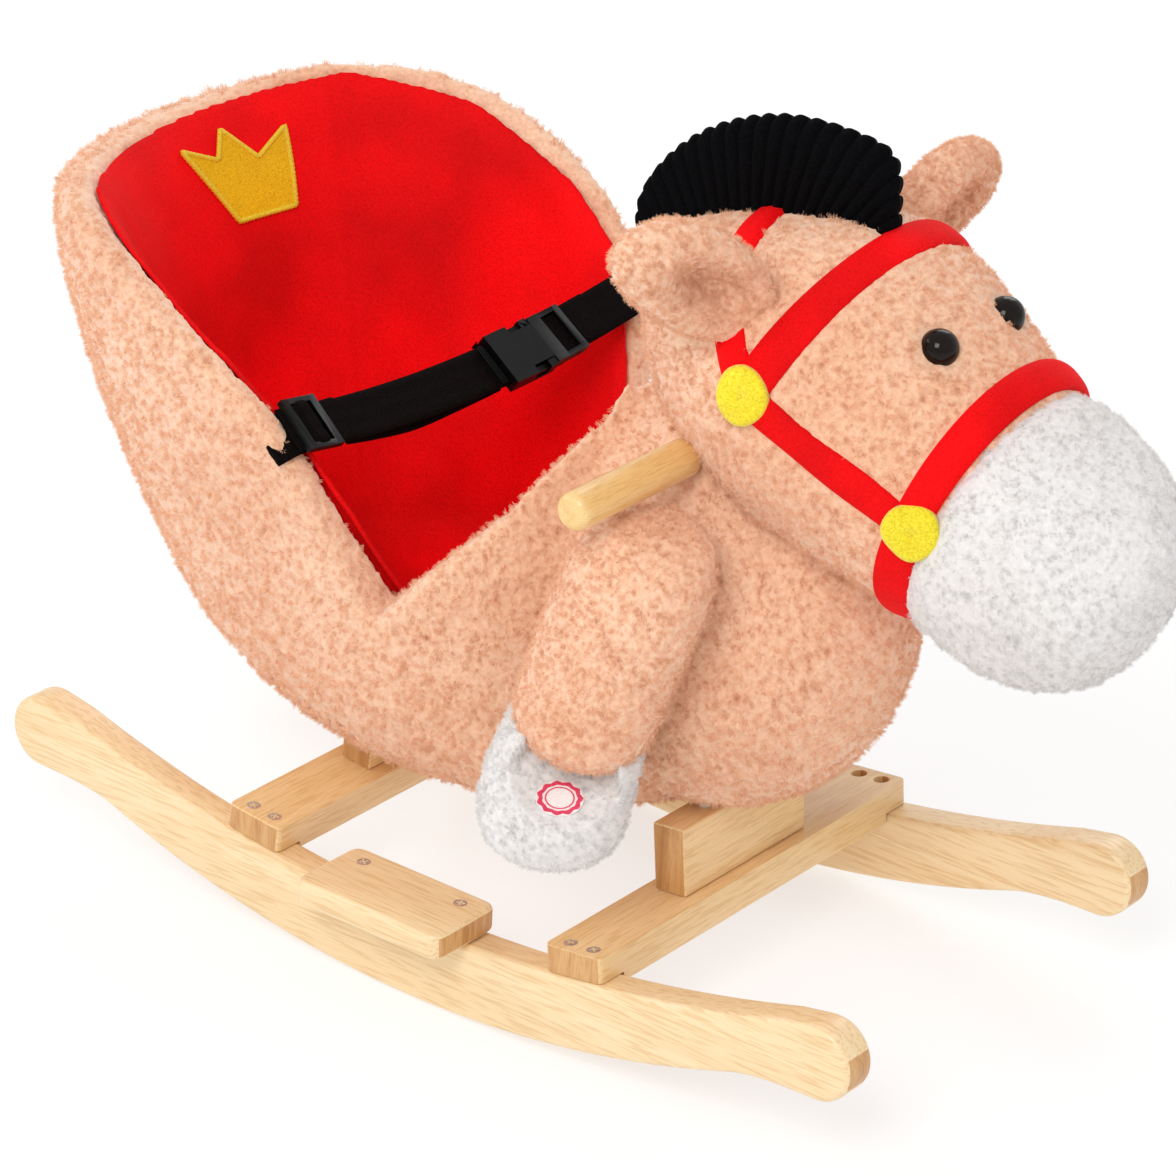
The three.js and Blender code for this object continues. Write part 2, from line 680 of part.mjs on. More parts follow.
function noseBand() {
  return part('nose_band', bandShell(0).intersect(noseSlab()), RED_VELBOA);
}

function browSolid(grow = 0) {
  return bandShell(grow).intersect(slab(UPPER_DISC, BROW, BAND_WIDTH + 2 * grow, -120, 120));
}

function browBand() {
  return part('brow_band', browSolid().subtract(headstallSolid(GAP)), RED_VELBOA);
}

function mane() {
  return part('mane', cutAll(maneSolid(), [headstallSolid(GAP), browSolid(GAP)]), CORDUROY);
}

// Moves a shape made along +Z so that its origin is at `at` and +Z points along `normal`.
function aim(geometry, at, normal) {
  const turn = new THREE.Quaternion().setFromUnitVectors(
    new THREE.Vector3(0, 0, 1),
    new THREE.Vector3(...normal).normalize(),
  );
  return geometry.applyQuaternion(turn).translate(...at);
}

function disc(place, side) {
  const [x, z] = place === 'upper' ? UPPER_DISC : LOWER_DISC;
  const [y, lean] = place === 'upper' ? [87.6, 0.02] : [72.6, 0.2];
  const profile = [[0, 0], [DISC_R - 1, 0], [DISC_R, 1], [DISC_R, DISC_THICK - 1], [DISC_R - 1.5, DISC_THICK],
    [0, DISC_THICK]];
  const shape = aim(turned(profile, 12), [x, side.y * y, z], [lean, side.y, 0.12]);
  return part(`${place}_disc_${side.name}`, shape, YELLOW_FELT);
}

// ---------- lap belt ----------
function beltPoint(t) {
  const point = new THREE.Vector3(...BELT_NEAR).lerp(new THREE.Vector3(...BELT_FAR), t);
  point.z -= 4 * BELT_SAG * t * (1 - t);
  return point;
}

function beltFrame(t) {
  const along = beltPoint(t + 0.01).sub(beltPoint(t - 0.01)).normalize();
  const lean = new THREE.Vector3(Math.cos(WEB_LEAN), 0, Math.sin(WEB_LEAN));
  const up = new THREE.Vector3().crossVectors(lean, along).normalize();
  const across = new THREE.Vector3().crossVectors(along, up);
  return { along, across, up };
}

// A flat piece that follows the belt between two fractions of its length.
function beltPiece([from, to], width, thick, { steps = 1, rise = 0, shift = 0 } = {}) {
  const rings = [];
  const straight = beltFrame((from + to) / 2);
  for (let i = 0; i <= steps; i += 1) {
    const t = from + ((to - from) * i) / steps;
    const { across, up } = steps === 1 ? straight : beltFrame(t);
    const centre = steps === 1
      ? beltPoint((from + to) / 2).addScaledVector(straight.along, (i - 0.5) * beltLength() * (to - from))
      : beltPoint(t);
    centre.addScaledVector(up, rise).addScaledVector(across, shift);
    rings.push([[1, 1], [-1, 1], [-1, -1], [1, -1]].map(([a, b]) => centre.clone()
      .addScaledVector(across, (a * width) / 2).addScaledVector(up, (b * thick) / 2)));
  }
  return toSolid(skin(rings));
}

function beltLength() {
  return new THREE.Vector3(...BELT_NEAR).distanceTo(new THREE.Vector3(...BELT_FAR));
}

const STRAP_NEAR = [0, SOCKET_AT[0] - 0.002];
const STRAP_FAR = [PLUG_AT[1] + 0.002, 1];
const SOCKET = { width: 33, thick: 9 };
const PLUG = { width: 31, thick: 8 };
const PRONG = { width: 22, thick: 3, reach: 0.075 };

function strapSolids(grow = 0) {
  const size = [WEB_WIDTH + 2 * grow, WEB_THICK + 2 * grow];
  return [
    beltPiece([STRAP_NEAR[0] - grow * 0.01, STRAP_NEAR[1]], ...size, { steps: 10 }),
    beltPiece([STRAP_FAR[0], STRAP_FAR[1] + grow * 0.01], ...size, { steps: 6 }),
  ];
}

function buckleSocket() {
  const body = beltPiece(SOCKET_AT, SOCKET.width, SOCKET.thick);
  const throat = beltPiece([PLUG_AT[0] - PRONG.reach - 0.012, PLUG_AT[0] + 0.02], PRONG.width + 2 * GAP,
    PRONG.thick + 2 * GAP);
  return part('buckle_socket', body.subtract(throat), BUCKLE_PLASTIC);
}

function bucklePlug() {
  const middle = (PLUG_AT[0] - PRONG.reach + PLUG_AT[1]) / 2;
  const half = (PLUG_AT[1] - PLUG_AT[0] + PRONG.reach) / 2;
  const prong = beltPiece([middle - half, middle + half - 0.02], PRONG.width, PRONG.thick);
  return part('buckle_plug', beltPiece(PLUG_AT, PLUG.width, PLUG.thick).add(prong), BUCKLE_PLASTIC);
}

function beltSlider() {
  const rise = WEB_THICK / 2 + GAP + 1.5;
  const frame = beltPiece(SLIDER_AT, WEB_WIDTH + 8, 3, { rise });
  const middle = (SLIDER_AT[0] + SLIDER_AT[1]) / 2;
  const slots = [[SLIDER_AT[0] + 0.016, middle - 0.008], [middle + 0.008, SLIDER_AT[1] - 0.016]]
    .map((span) => beltPiece(span, WEB_WIDTH + 1, 6, { rise }));
  return part('belt_slider', cutAll(frame, slots), BUCKLE_PLASTIC);
}

function belt() {
  const [near, far] = strapSolids();
  return [
    part('belt_strap_right', near, WEBBING),
    part('belt_strap_left', far, WEBBING),
    buckleSocket(),
    bucklePlug(),
    beltSlider(),
  ];
}

// ---------- crown on the back of the lining ----------
const CROWN = { at: [-238, 28, 327], normal: [0.9, -0.22, 0.4], roll: 8 };

function crown() {
  const points = [[-15, -20], [19, -23], [30, 17], [9, 7], [-4, 27], [-13, 13], [-33, 24]];
  const blank = new THREE.ExtrudeGeometry(outline(points), { depth: 1.2, bevelEnabled: false });
  const normal = new THREE.Vector3(...CROWN.normal).normalize();
  const right = new THREE.Vector3(0, 0, 1).cross(normal).normalize();
  const up = normal.clone().cross(right);
  const place = new THREE.Matrix4().makeBasis(right, up, normal).setPosition(...CROWN.at);
  const flat = toSolid(blank.rotateZ(THREE.MathUtils.degToRad(CROWN.roll)).applyMatrix4(place));
  return part('crown_patch', flat.intersect(wellSolid(-LINING_THICK - GAP)), GOLD_THREAD);
}

// ---------- sound module in the right hoof ----------
const PRESS = { at: [97.5, -138, 148.5], normal: [0.43, -0.51, 0.74] };
const CASE = { r: 14, top: -12, bottom: -25 };
const STEM_R = 6;

function pressTurned(profile, segments = 12) {
  return toSolid(aim(turned(profile, segments), PRESS.at, PRESS.normal));
}

function hoofCavity() {
  const grown = CASE.r + GAP;
  const recess = pressTurned([[0, -4.2], [13, -4.2], [13, 12], [0, 12]]);
  const bore = pressTurned([[0, CASE.top], [STEM_R + 0.5, CASE.top], [STEM_R + 0.5, -3], [0, -3]]);
  const pocket = pressTurned([[0, CASE.bottom - GAP], [grown, CASE.bottom - GAP], [grown, CASE.top + GAP],
    [0, CASE.top + GAP]]);
  return recess.add(bore).add(pocket);
}

function soundModule() {
  const well = pressTurned([[0, CASE.top - 4.8], [STEM_R + 0.4, CASE.top - 4.8], [STEM_R + 0.4, 0], [0, 0]]);
  const caseSolid = pressTurned([[0, CASE.bottom], [CASE.r, CASE.bottom], [CASE.r, CASE.top], [0, CASE.top]]);
  const stem = pressTurned([[0, CASE.top - 1.6], [STEM_R, CASE.top - 1.6], [STEM_R, -1.6], [0, -1.6]]);
  const patch = turned([[0, -1.2], [1, -1.2], [1, 0], [0, 0]], 14).scale(...PATCH_RADII, 1);
  return [
    part('sound_case', caseSolid.subtract(well), MODULE_PLASTIC),
    part('sound_button', stem, MODULE_PLASTIC),
    part('press_patch', toSolid(aim(patch, PRESS.at, PRESS.normal)), PATCH_CLOTH),
  ];
}

function legs(side) {
  const hoof = limb(HOOF, side);
  return [
    part(`leg_${side.name}`, limb(LEG, side), PLUSH),
    part(`hoof_${side.name}`, side.y < 0 ? hoof.subtract(hoofCavity()) : hoof, WHITE_PLUSH),
  ];
}

function ears(side) {
  return part(`ear_${side.name}`, earSolid(side).subtract(headSolid(-8)).subtract(headstallSolid(GAP)), PLUSH);
}

// ---------- the whole horse ----------
function internals() {
  return [
    part('seat_board', cutAll(seatBoardSolid(), [...boltHoles(1), ...boltHoles(-1)]), PLYWOOD),
    part('back_board', backBoardSolid(), PLYWOOD),
    part('seat_foam', seatFoamSolid(), FOAM),
    part('neck_post', postSolid().subtract(rodSolid(GAP)), PLYWOOD),
    part('handle_rod', rodSolid(), PLYWOOD),
  ];
}

function assemble() {
  const horse = new THREE.Group();
  horse.position.x = FRAME_SHIFT_X;
  horse.add(...SIDES.map(rocker), crossbar(1), crossbar(-1), batten(1), batten(-1), ...SIDES.map(footrest));
  horse.add(...fasteners(), ...internals());
  horse.add(bodyPlush(), seatLining(), crown(), headPlush(), part('muzzle_plush', toSolid(trunk(MUZZLE)), WHITE_PLUSH));
  horse.add(mane(), ...SIDES.map(grip), ...SIDES.map(ears), ...SIDES.flatMap(legs));
  horse.add(...SIDES.map((side) => part(`eye_${side.name}`, eyeSolid(side), EYE_PLASTIC)));
  horse.add(part('headstall', headstallSolid(), RED_VELBOA), browBand(), noseBand());
  horse.add(...SIDES.flatMap((side) => [disc('upper', side), disc('lower', side)]));
  horse.add(...belt(), ...soundModule());
  return horse;
}

export default assemble();
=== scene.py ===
"""Looks of the plush rocking horse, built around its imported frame.

Tables are in millimetres, measured from the middle of the rockers; mm() puts a point in the frame.
"""

import math

import bmesh
import bpy
import numpy as np
from mathutils import Matrix, Vector
from mathutils.bvhtree import BVHTree


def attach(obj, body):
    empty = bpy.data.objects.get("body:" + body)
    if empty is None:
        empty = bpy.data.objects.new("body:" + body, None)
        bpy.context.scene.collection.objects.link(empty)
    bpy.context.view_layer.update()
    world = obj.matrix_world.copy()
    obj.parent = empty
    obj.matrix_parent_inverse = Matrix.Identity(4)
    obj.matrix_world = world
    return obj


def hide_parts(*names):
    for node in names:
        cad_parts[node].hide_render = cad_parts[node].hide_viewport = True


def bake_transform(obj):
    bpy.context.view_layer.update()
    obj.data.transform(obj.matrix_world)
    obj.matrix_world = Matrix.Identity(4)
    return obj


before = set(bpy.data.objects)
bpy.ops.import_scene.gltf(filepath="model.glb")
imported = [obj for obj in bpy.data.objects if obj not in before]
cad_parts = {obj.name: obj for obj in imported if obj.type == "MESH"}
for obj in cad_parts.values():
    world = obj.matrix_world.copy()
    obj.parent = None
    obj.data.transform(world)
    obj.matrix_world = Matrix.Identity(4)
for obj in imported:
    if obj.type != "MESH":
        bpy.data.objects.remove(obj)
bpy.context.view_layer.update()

# ---------- sizes, in millimetres ----------
SHIFT_X = -13.6
SIDES = {"right": -1, "left": 1}
TILT = math.radians(5.8)

ROCKER = {"r": 586, "top_r": 780, "mid": 41.5, "arc_x": 198, "tip_x": 247, "tip_z": 59, "tip_r": 19.5}
ROCKER_Y = (110, 130)
BAR = {"x": 101.6, "top": 62.5, "width": 34.4, "length": 256, "thick": 18}
BATTEN = {"thick": 19, "length": 100, "front": 36, "rear": 17}
FOOTREST = {"x": -5, "length": 91, "y": (108, 156), "z": (43.7, 57.7), "corner": 7}
SEAT_X, SEAT_Z = -3, 88.9
WELL_FLOOR = 141.5
RIM_ROLL = math.radians(4)
WELL_SLACK = 3.5

TUB = [
    (76, -158, 60, 54), (86, -178, 84, 72), (106, -206, 96, 92), (138, -238, 100, 109),
    (190, -270, 96, 122), (250, -293, 80, 138), (310, -307, 60, 151), (346, -308, 40, 154),
    (368, -300, 30, 147), (378, -288, 10, 135),
]
WELL = [
    (96, -196, -24, 82), (136, -198, -18, 86), (160, -206, -8, 92), (200, -218, 6, 103),
    (250, -233, 26, 116), (300, -248, 46, 130), (330, -262, 54, 137), (350, -282, 60, 143),
    (400, -302, 76, 149),
]
RIM_REAR = [(-400, 345), (-300, 345), (-240, 357), (-180, 344), (-120, 316), (-84, 288), (-62, 242), (-44, 190)]
RIM_FRONT = [(-44, 190), (-14, 222), (24, 262), (46, 300), (52, 345), (52, 600)]
CHEST = ((86, 0, 208), (106, 88, 112))
NECK = ((98, 0, 275), (56, 66, 62))
HEAD = [
    (50, 360, 0, 14, 14), (58, 358, 0, 37, 35), (78, 353, -2, 59, 51), (108, 348, -6, 75, 65),
    (145, 342, -12, 83, 79), (180, 328, -18, 79, 77), (212, 312, -22, 71, 69), (236, 301, -22, 65, 65),
    (252, 294.5, -22, 52, 52),
]
MUZZLE = [
    (232, 302.5, -22, 50, 50), (236.6, 300.8, -22, 62, 62), (246, 297, -22, 65.5, 66), (258, 292, -22, 66, 67),
    (281, 282, -22, 62, 65), (301, 274, -22, 53, 56), (317, 268, -22, 38, 42), (326, 264, -22, 17, 20),
]
LEG = [
    (124, 286, 80, 14, 18, 14), (122, 280, 80, 24, 28, 8), (117, 262, 78, 30, 35, 4), (109, 236, 74, 31, 36, 0),
    (98, 200, 72, 31, 35, -3), (92, 180, 75, 30.5, 33.5, -5), (90, 172, 77, 26.5, 29.5, -6), (89, 165, 79, 20, 23, -6),
]
HOOF = [
    (91, 179, 77, 25, 28, -6), (90, 173, 77, 31, 34, -6), (86, 157, 79, 32.5, 36, -7), (83, 146, 80, 33, 37, -8), (80, 128, 84, 33, 37, -9),
    (78, 112, 88, 27, 30, -9), (77, 104, 90, 13, 15, -9),
]
LEG_Y = 112
LEG_PIVOT = (120, 262)
EYE = {"x": 218, "y": 27, "z": 380.5, "r": 9.4}
UPPER_DISC, LOWER_DISC = (150, 354), (236, 308)
DISC_R = 14
POLL, BROW = (84, 440), (190, 440)
NOSE_TOP, NOSE_BOTTOM = (262, 392), (202, 214)
BAND_WIDTH = 17
MANE_OUTER = [(30, 362), (25, 392), (40, 419), (68, 442), (106, 457), (146, 459), (168, 452), (172, 425), (170, 398)]
MANE_INNER = [(56, 346), (60, 358), (70, 372), (90, 388), (112, 396), (134, 399), (150, 396), (156, 393), (158, 390)]
MANE_RIBS = 27
BELT = {"near": (-82, -139, 282), "far": (-68, 129, 284), "sag": 12, "lean": math.radians(-36), "web": 25}
SOCKET_AT, PLUG_AT, SLIDER_AT = (0.557, 0.707), (0.709, 0.797), (0.036, 0.122)
BUCKLE_SLIM = 0.9
HANDLE = {"x": 105, "z": 303, "r": 9.5, "inner": 62, "outer": 151}
CROWN = {"at": (-238, 28, 327), "normal": (0.9, -0.22, 0.4), "roll": math.radians(8)}
CROWN_BASE = [(-15, -20), (19, -23)]
CROWN_TOP = [(-33, 24), (-13, 13), (-4, 27), (9, 7), (30, 17)]
PRESS = {"at": (97.5, -138, 148.5), "normal": (0.43, -0.51, 0.74), "radii": (11.5, 9)}


# ---------- points and meshes ----------
def mm(points):
    """Millimetres from the middle of the rockers to metres in the frame."""
    points = np.asarray(points, float)
    return (points + (SHIFT_X, 0, 0)) * 0.001


def add_object(name, points, faces, material, smooth=True):
    mesh = bpy.data.meshes.new(name)
    mesh.from_pydata([tuple(p) for p in mm(points)], [], [tuple(int(i) for i in f) for f in faces])
    mesh.validate()
    tidy = bmesh.new()
    tidy.from_mesh(mesh)
    bmesh.ops.recalc_face_normals(tidy, faces=tidy.faces)
    tidy.to_mesh(mesh)
    tidy.free()
    if material:
        mesh.materials.append(material)
    mesh.polygons.foreach_set("use_smooth", [smooth] * len(mesh.polygons))
    obj = bpy.data.objects.new(name, mesh)
    bpy.context.scene.collection.objects.link(obj)
    return obj


def settle(obj):
    """Applies every modifier on obj to its mesh."""
    depsgraph = bpy.context.evaluated_depsgraph_get()
    mesh = bpy.data.meshes.new_from_object(obj.evaluated_get(depsgraph), depsgraph=depsgraph)
    spent, materials = obj.data, list(obj.data.materials)
    obj.modifiers.clear()
    obj.data = mesh
    mesh.materials.clear()
    for material in materials:
        mesh.materials.append(material)
    mesh.polygons.foreach_set("use_smooth", [True] * len(mesh.polygons))
    mesh.name = obj.name
    bpy.data.meshes.remove(spent)
    return obj


def modify(obj, kind, **values):
    modifier = obj.modifiers.new(kind.lower(), kind)
    for key, value in values.items():
        setattr(modifier, key, value)
    return modifier


def coordinates(obj):
    co = np.zeros(len(obj.data.vertices) * 3)
    obj.data.vertices.foreach_get("co", co)
    return co.reshape(-1, 3)


def set_coordinates(obj, co):
    obj.data.vertices.foreach_set("co", np.asarray(co, float).ravel())
    obj.data.update()


def spline(rows, steps):
    """Smooth rows between the given ones: a Catmull-Rom curve through each column."""
    rows = np.asarray(rows, float)
    padded = np.vstack([2 * rows[0] - rows[1], rows, 2 * rows[-1] - rows[-2]])
    out = []
    for i in range(1, len(padded) - 2):
        a, b, c, d = padded[i - 1:i + 3]
        for t in np.arange(steps) / steps:
            out.append(0.5 * (2 * b + (c - a) * t + (2 * a - 5 * b + 4 * c - d) * t * t
                              + (3 * b - a - 3 * c + d) * t ** 3))
    out.append(rows[-1])
    return np.array(out)


def resample(points, count):
    """Evenly spaced points along a polyline."""
    points = np.asarray(points, float)
    run = np.concatenate([[0], np.cumsum(np.linalg.norm(np.diff(points, axis=0), axis=1))])
    at = np.linspace(0, run[-1], count)
    return np.stack([np.interp(at, run, points[:, k]) for k in range(points.shape[1])], axis=1)


def loft(rings, closed=False):
    """Points and faces of a skin over rings with equal numbers of points, capped at both ends."""
    n, m = len(rings[0]), len(rings)
    points = np.vstack(rings)
    faces = []
    for i in range(m if closed else m - 1):
        k = (i + 1) % m
        for j in range(n):
            j1 = (j + 1) % n
            faces.append((i * n + j, i * n + j1, k * n + j1, k * n + j))
    if not closed:
        faces.append(tuple(range(n)))
        faces.append(tuple(range((m - 1) * n, m * n)))
    return points, faces


def ellipse(centre, across, up, count):
    a = np.linspace(0, 2 * np.pi, count, endpoint=False)[:, None]
    return np.asarray(centre) + np.cos(a) * np.asarray(across) + np.sin(a) * np.asarray(up)


def tub_rings(rows, extra=0, count=96, steps=5):
    rings = []
    for z, rear, front, half in spline(rows, steps):
        rings.append(ellipse(((rear + front) / 2, 0, z), ((front - rear) / 2 + extra, 0, 0), (0, half + extra, 0), count))
    return rings


def trunk_rings(rows, y=0, count=64, steps=5, side=1):
    rings = []
    for row in spline(rows, steps):
        x, z, pitch, half, high = row[:5]
        out = -side * row[5] if len(row) > 5 else 0
        a = math.radians(pitch)
        half, high = max(half, 1), max(high, 1)
        rings.append(ellipse((x, y + out, z), (0, half, 0), (-math.sin(a) * high, 0, math.cos(a) * high), count))
    return rings


def ball(centre, radii, count=64):
    rings = []
    for a in np.linspace(-np.pi / 2, np.pi / 2, count // 2)[1:-1]:
        r = math.cos(a)
        rings.append(ellipse((centre[0], centre[1], centre[2] + math.sin(a) * radii[2]),
                             (radii[0] * r, 0, 0), (0, radii[1] * r, 0), count))
    return loft(rings)


def merged(shapes):
    points, faces, start = [], [], 0
    for p, f in shapes:
        points.append(np.asarray(p))
        faces += [tuple(i + start for i in face) for face in f]
        start += len(p)
    return np.vstack(points), faces


def prism(outline, low_y, high_y, roll=0):
    """A side outline in x and z, from low_y to high_y, rolled about the X axis."""
    n = len(outline)
    points = [(x, y, z) for y in (low_y, high_y) for x, z in outline]
    turned = [(x, y * math.cos(roll) - z * math.sin(roll), y * math.sin(roll) + z * math.cos(roll))
              for x, y, z in points]
    faces = [tuple(range(n)), tuple(range(n, 2 * n))]
    faces += [(i, (i + 1) % n, n + (i + 1) % n, n + i) for i in range(n)]
    return np.array(turned), faces


def slab(x0, x1, y0, y1, z0, z1, tilt=0, about=(0, 0)):
    """A box, leaned nose-up by tilt about a line across."""
    corners = [(x, y, z) for x in (x0, x1) for y in (y0, y1) for z in (z0, z1)]
    points = lean(np.array(corners, float), tilt, about)
    faces = [(0, 1, 3, 2), (4, 6, 7, 5), (0, 4, 5, 1), (2, 3, 7, 6), (0, 2, 6, 4), (1, 5, 7, 3)]
    return points, faces


def lean(points, tilt, about):
    points = np.array(points, float)
    x, z = points[:, 0] - about[0], points[:, 2] - about[1]
    points[:, 0] = about[0] + x * math.cos(tilt) - z * math.sin(tilt)
    points[:, 2] = about[1] + x * math.sin(tilt) + z * math.cos(tilt)
    return points


def cut(obj, shapes):
    """Takes shapes, as points and faces, out of obj."""
    for shape in shapes:
        tool = add_object("cutter", *shape, None)
        modify(obj, "BOOLEAN", operation="DIFFERENCE", object=tool, solver="EXACT")
        settle(obj)
        bpy.data.objects.remove(tool)
    return obj


def surface_tree(obj):
    """A search tree over obj, in millimetres from the middle of the rockers."""
    co = coordinates(obj) * 1000 - (SHIFT_X, 0, 0)
    return BVHTree.FromPolygons([Vector(p) for p in co], [tuple(p.vertices) for p in obj.data.polygons])


# ---------- materials ----------
def new_material(name, color, roughness, **sockets):
    material = bpy.data.materials.new(name)
    material.use_nodes = True
    nodes, links = material.node_tree.nodes, material.node_tree.links
    shader = nodes["Principled BSDF"]
    shader.inputs["Base Color"].default_value = srgb(color)
    shader.inputs["Roughness"].default_value = roughness
    for key, value in sockets.items():
        shader.inputs[key.replace("_", " ")].default_value = value
    return material, nodes, links, shader


def srgb(color):
    parts = [int(color[i:i + 2], 16) / 255 for i in (0, 2, 4)]
    return tuple(p / 12.92 if p <= 0.04045 else ((p + 0.055) / 1.055) ** 2.4 for p in parts) + (1,)


def noise_node(nodes, links, scale, stretch=(1, 1, 1), detail=3, roughness=0.5, distortion=0.0):
    place = nodes.new("ShaderNodeTexCoord")
    mapping = nodes.new("ShaderNodeMapping")
    mapping.inputs["Scale"].default_value = stretch
    noise = nodes.new("ShaderNodeTexNoise")
    noise.inputs["Scale"].default_value = scale
    noise.inputs["Detail"].default_value = detail
    noise.inputs["Roughness"].default_value = roughness
    noise.inputs["Distortion"].default_value = distortion
    links.new(place.outputs["Object"], mapping.inputs["Vector"])
    links.new(mapping.outputs["Vector"], noise.inputs["Vector"])
    return noise


def ramp_node(nodes, links, source, stops):
    ramp = nodes.new("ShaderNodeValToRGB")
    while len(ramp.color_ramp.elements) < len(stops):
        ramp.color_ramp.elements.new(0.5)
    for element, (at, color) in zip(ramp.color_ramp.elements, stops):
        element.position = at
        element.color = srgb(color)
    links.new(source, ramp.inputs["Fac"])
    return ramp


def bump_node(nodes, links, height, strength, distance, previous=None):
    bump = nodes.new("ShaderNodeBump")
    bump.inputs["Strength"].default_value = strength
    bump.inputs["Distance"].default_value = distance
    links.new(height, bump.inputs["Height"])
    if previous:
        links.new(previous.outputs["Normal"], bump.inputs["Normal"])
    return bump


def cloth_material(name, tones, roughness, scale, bump, shade_patch_scale=9, **sockets):
    """Cloth with fine pile: tones from its crevices to its tips, the crevices darker as painted shade and the tips
    lighter as painted light, and slow patches of painted shade.
    """
    material, nodes, links, shader = new_material(name, tones[1], roughness, **sockets)
    fine = noise_node(nodes, links, scale, detail=4, roughness=0.65)
    # Painted shade and light: the noise that lifts the bump also darkens the pile's crevices and lightens its tips.
    ramp = ramp_node(nodes, links, fine.outputs["Fac"], [(0.34, tones[0]), (0.5, tones[1]), (0.66, tones[2])])
    # Painted shade: slow patches multiply the colour down towards the fourth tone.
    slow = noise_node(nodes, links, shade_patch_scale, detail=2)
    patches = ramp_node(nodes, links, slow.outputs["Fac"], [(0.3, tones[3]), (0.65, "ffffff")])
    mix = nodes.new("ShaderNodeMix")
    mix.data_type = "RGBA"
    mix.blend_type = "MULTIPLY"
    mix.inputs["Factor"].default_value = 1
    links.new(ramp.outputs["Color"], mix.inputs["A"])
    links.new(patches.outputs["Color"], mix.inputs["B"])
    links.new(mix.outputs["Result"], shader.inputs["Base Color"])
    relief = bump_node(nodes, links, fine.outputs["Fac"], bump, 0.001)
    links.new(relief.outputs["Normal"], shader.inputs["Normal"])
    return material


def hair_material(name, tones, roughness=0.85):
    """The fibres' own colour, which differs from one to the next."""
    material, nodes, links, shader = new_material(name, tones[1], roughness, Specular_IOR_Level=0.15)
    info = nodes.new("ShaderNodeHairInfo")
    ramp = ramp_node(nodes, links, info.outputs["Random"], [(0.0, tones[0]), (0.5, tones[1]), (1.0, tones[2])])
    links.new(ramp.outputs["Color"], shader.inputs["Base Color"])
    return material


def wood_material(name, tones, along, ring=30.0, roughness=0.38):
    """Lacquered softwood: growth lines and fine pores that run along one axis."""
    material, nodes, links, shader = new_material(name, tones[1], roughness, Coat_Weight=0.25, Coat_Roughness=0.25)
    stretch = [1.0, 1.0, 1.0]
    stretch["xyz".index(along)] = 0.06
    wide = noise_node(nodes, links, ring, stretch, detail=3, roughness=0.45, distortion=0.6)
    lines = ramp_node(nodes, links, wide.outputs["Fac"],
                      [(0.3, tones[0]), (0.42, tones[1]), (0.5, tones[2]), (0.58, tones[1]), (0.7, tones[2])])
    pores = noise_node(nodes, links, ring * 26, stretch, detail=2, roughness=0.5)
    speck = ramp_node(nodes, links, pores.outputs["Fac"], [(0.36, "e6d2b4"), (0.52, "ffffff")])
    mix = nodes.new("ShaderNodeMix")
    mix.data_type = "RGBA"
    mix.blend_type = "MULTIPLY"
    mix.inputs["Factor"].default_value = 0.55
    links.new(lines.outputs["Color"], mix.inputs["A"])
    links.new(speck.outputs["Color"], mix.inputs["B"])
    links.new(mix.outputs["Result"], shader.inputs["Base Color"])
    relief = bump_node(nodes, links, pores.outputs["Fac"], 0.15, 0.0004)
    links.new(relief.outputs["Normal"], shader.inputs["Normal"])
    return material


def worn_material(name, tones, roughness, scale, bump=0.1, **sockets):
    """A hard finish with faint mottling and unevenness."""
    material, nodes, links, shader = new_material(name, tones[0], roughness, **sockets)
    noise = noise_node(nodes, links, scale, detail=3)
    ramp = ramp_node(nodes, links, noise.outputs["Fac"], [(0.35, tones[0]), (0.65, tones[1])])
    links.new(ramp.outputs["Color"], shader.inputs["Base Color"])
    relief = bump_node(nodes, links, noise.outputs["Fac"], bump, 0.0003)
    links.new(relief.outputs["Normal"], shader.inputs["Normal"])
    return material


def web_material():
    """Woven belt webbing: fine ribs across it."""
    material, nodes, links, shader = new_material("webbing", "0d0908", 0.85, Specular_IOR_Level=0.05)
    place = nodes.new("ShaderNodeTexCoord")
    wave = nodes.new("ShaderNodeTexWave")
    wave.bands_direction = "Y"
    wave.inputs["Scale"].default_value = 210
    wave.inputs["Distortion"].default_value = 0.4
    links.new(place.outputs["Object"], wave.inputs["Vector"])
    noise = noise_node(nodes, links, 900, detail=2)
    ramp = ramp_node(nodes, links, noise.outputs["Fac"], [(0.35, "050303"), (0.65, "130d0c")])
    links.new(ramp.outputs["Color"], shader.inputs["Base Color"])
    ribs = bump_node(nodes, links, wave.outputs["Fac"], 0.6, 0.0006)
    both = bump_node(nodes, links, noise.outputs["Fac"], 0.3, 0.0004, ribs)
    links.new(both.outputs["Normal"], shader.inputs["Normal"])
    return material


def eye_material():
    """Dark brown mottled with near black, under a clear polish."""
    material, nodes, links, shader = new_material("eye", "140905", 0.1, Specular_IOR_Level=0.22)
    noise = noise_node(nodes, links, 500, detail=2)
    ramp = ramp_node(nodes, links, noise.outputs["Fac"], [(0.3, "060302"), (0.7, "180b05")])
    links.new(ramp.outputs["Color"], shader.inputs["Base Color"])
    return material


# ---------- camera, light and floor ----------
def camera():
    azimuth, elevation, roll = math.radians(36.9), math.radians(25.5), math.radians(2.8)
    distance, target = 2.6, Vector(mm((4.5, 0, 179.7)))
    back = Vector((math.sin(azimuth) * math.cos(elevation), -math.cos(azimuth) * math.cos(elevation),
                   math.sin(elevation)))
    level = Vector((math.cos(azimuth), math.sin(azimuth), 0))
    above = back.cross(level)
    right = level * math.cos(roll) + above * math.sin(roll)
    up = above * math.cos(roll) - level * math.sin(roll)
    data = bpy.data.cameras.new("camera")
    data.sensor_width = 36
    data.lens = 159.8
    data.clip_end = 30
    obj = bpy.data.objects.new("camera", data)
    turn = Matrix((right, up, back)).transposed().to_4x4()
    obj.matrix_world = Matrix.Translation(target + back * distance) @ turn
    bpy.context.scene.collection.objects.link(obj)
    bpy.context.scene.camera = obj


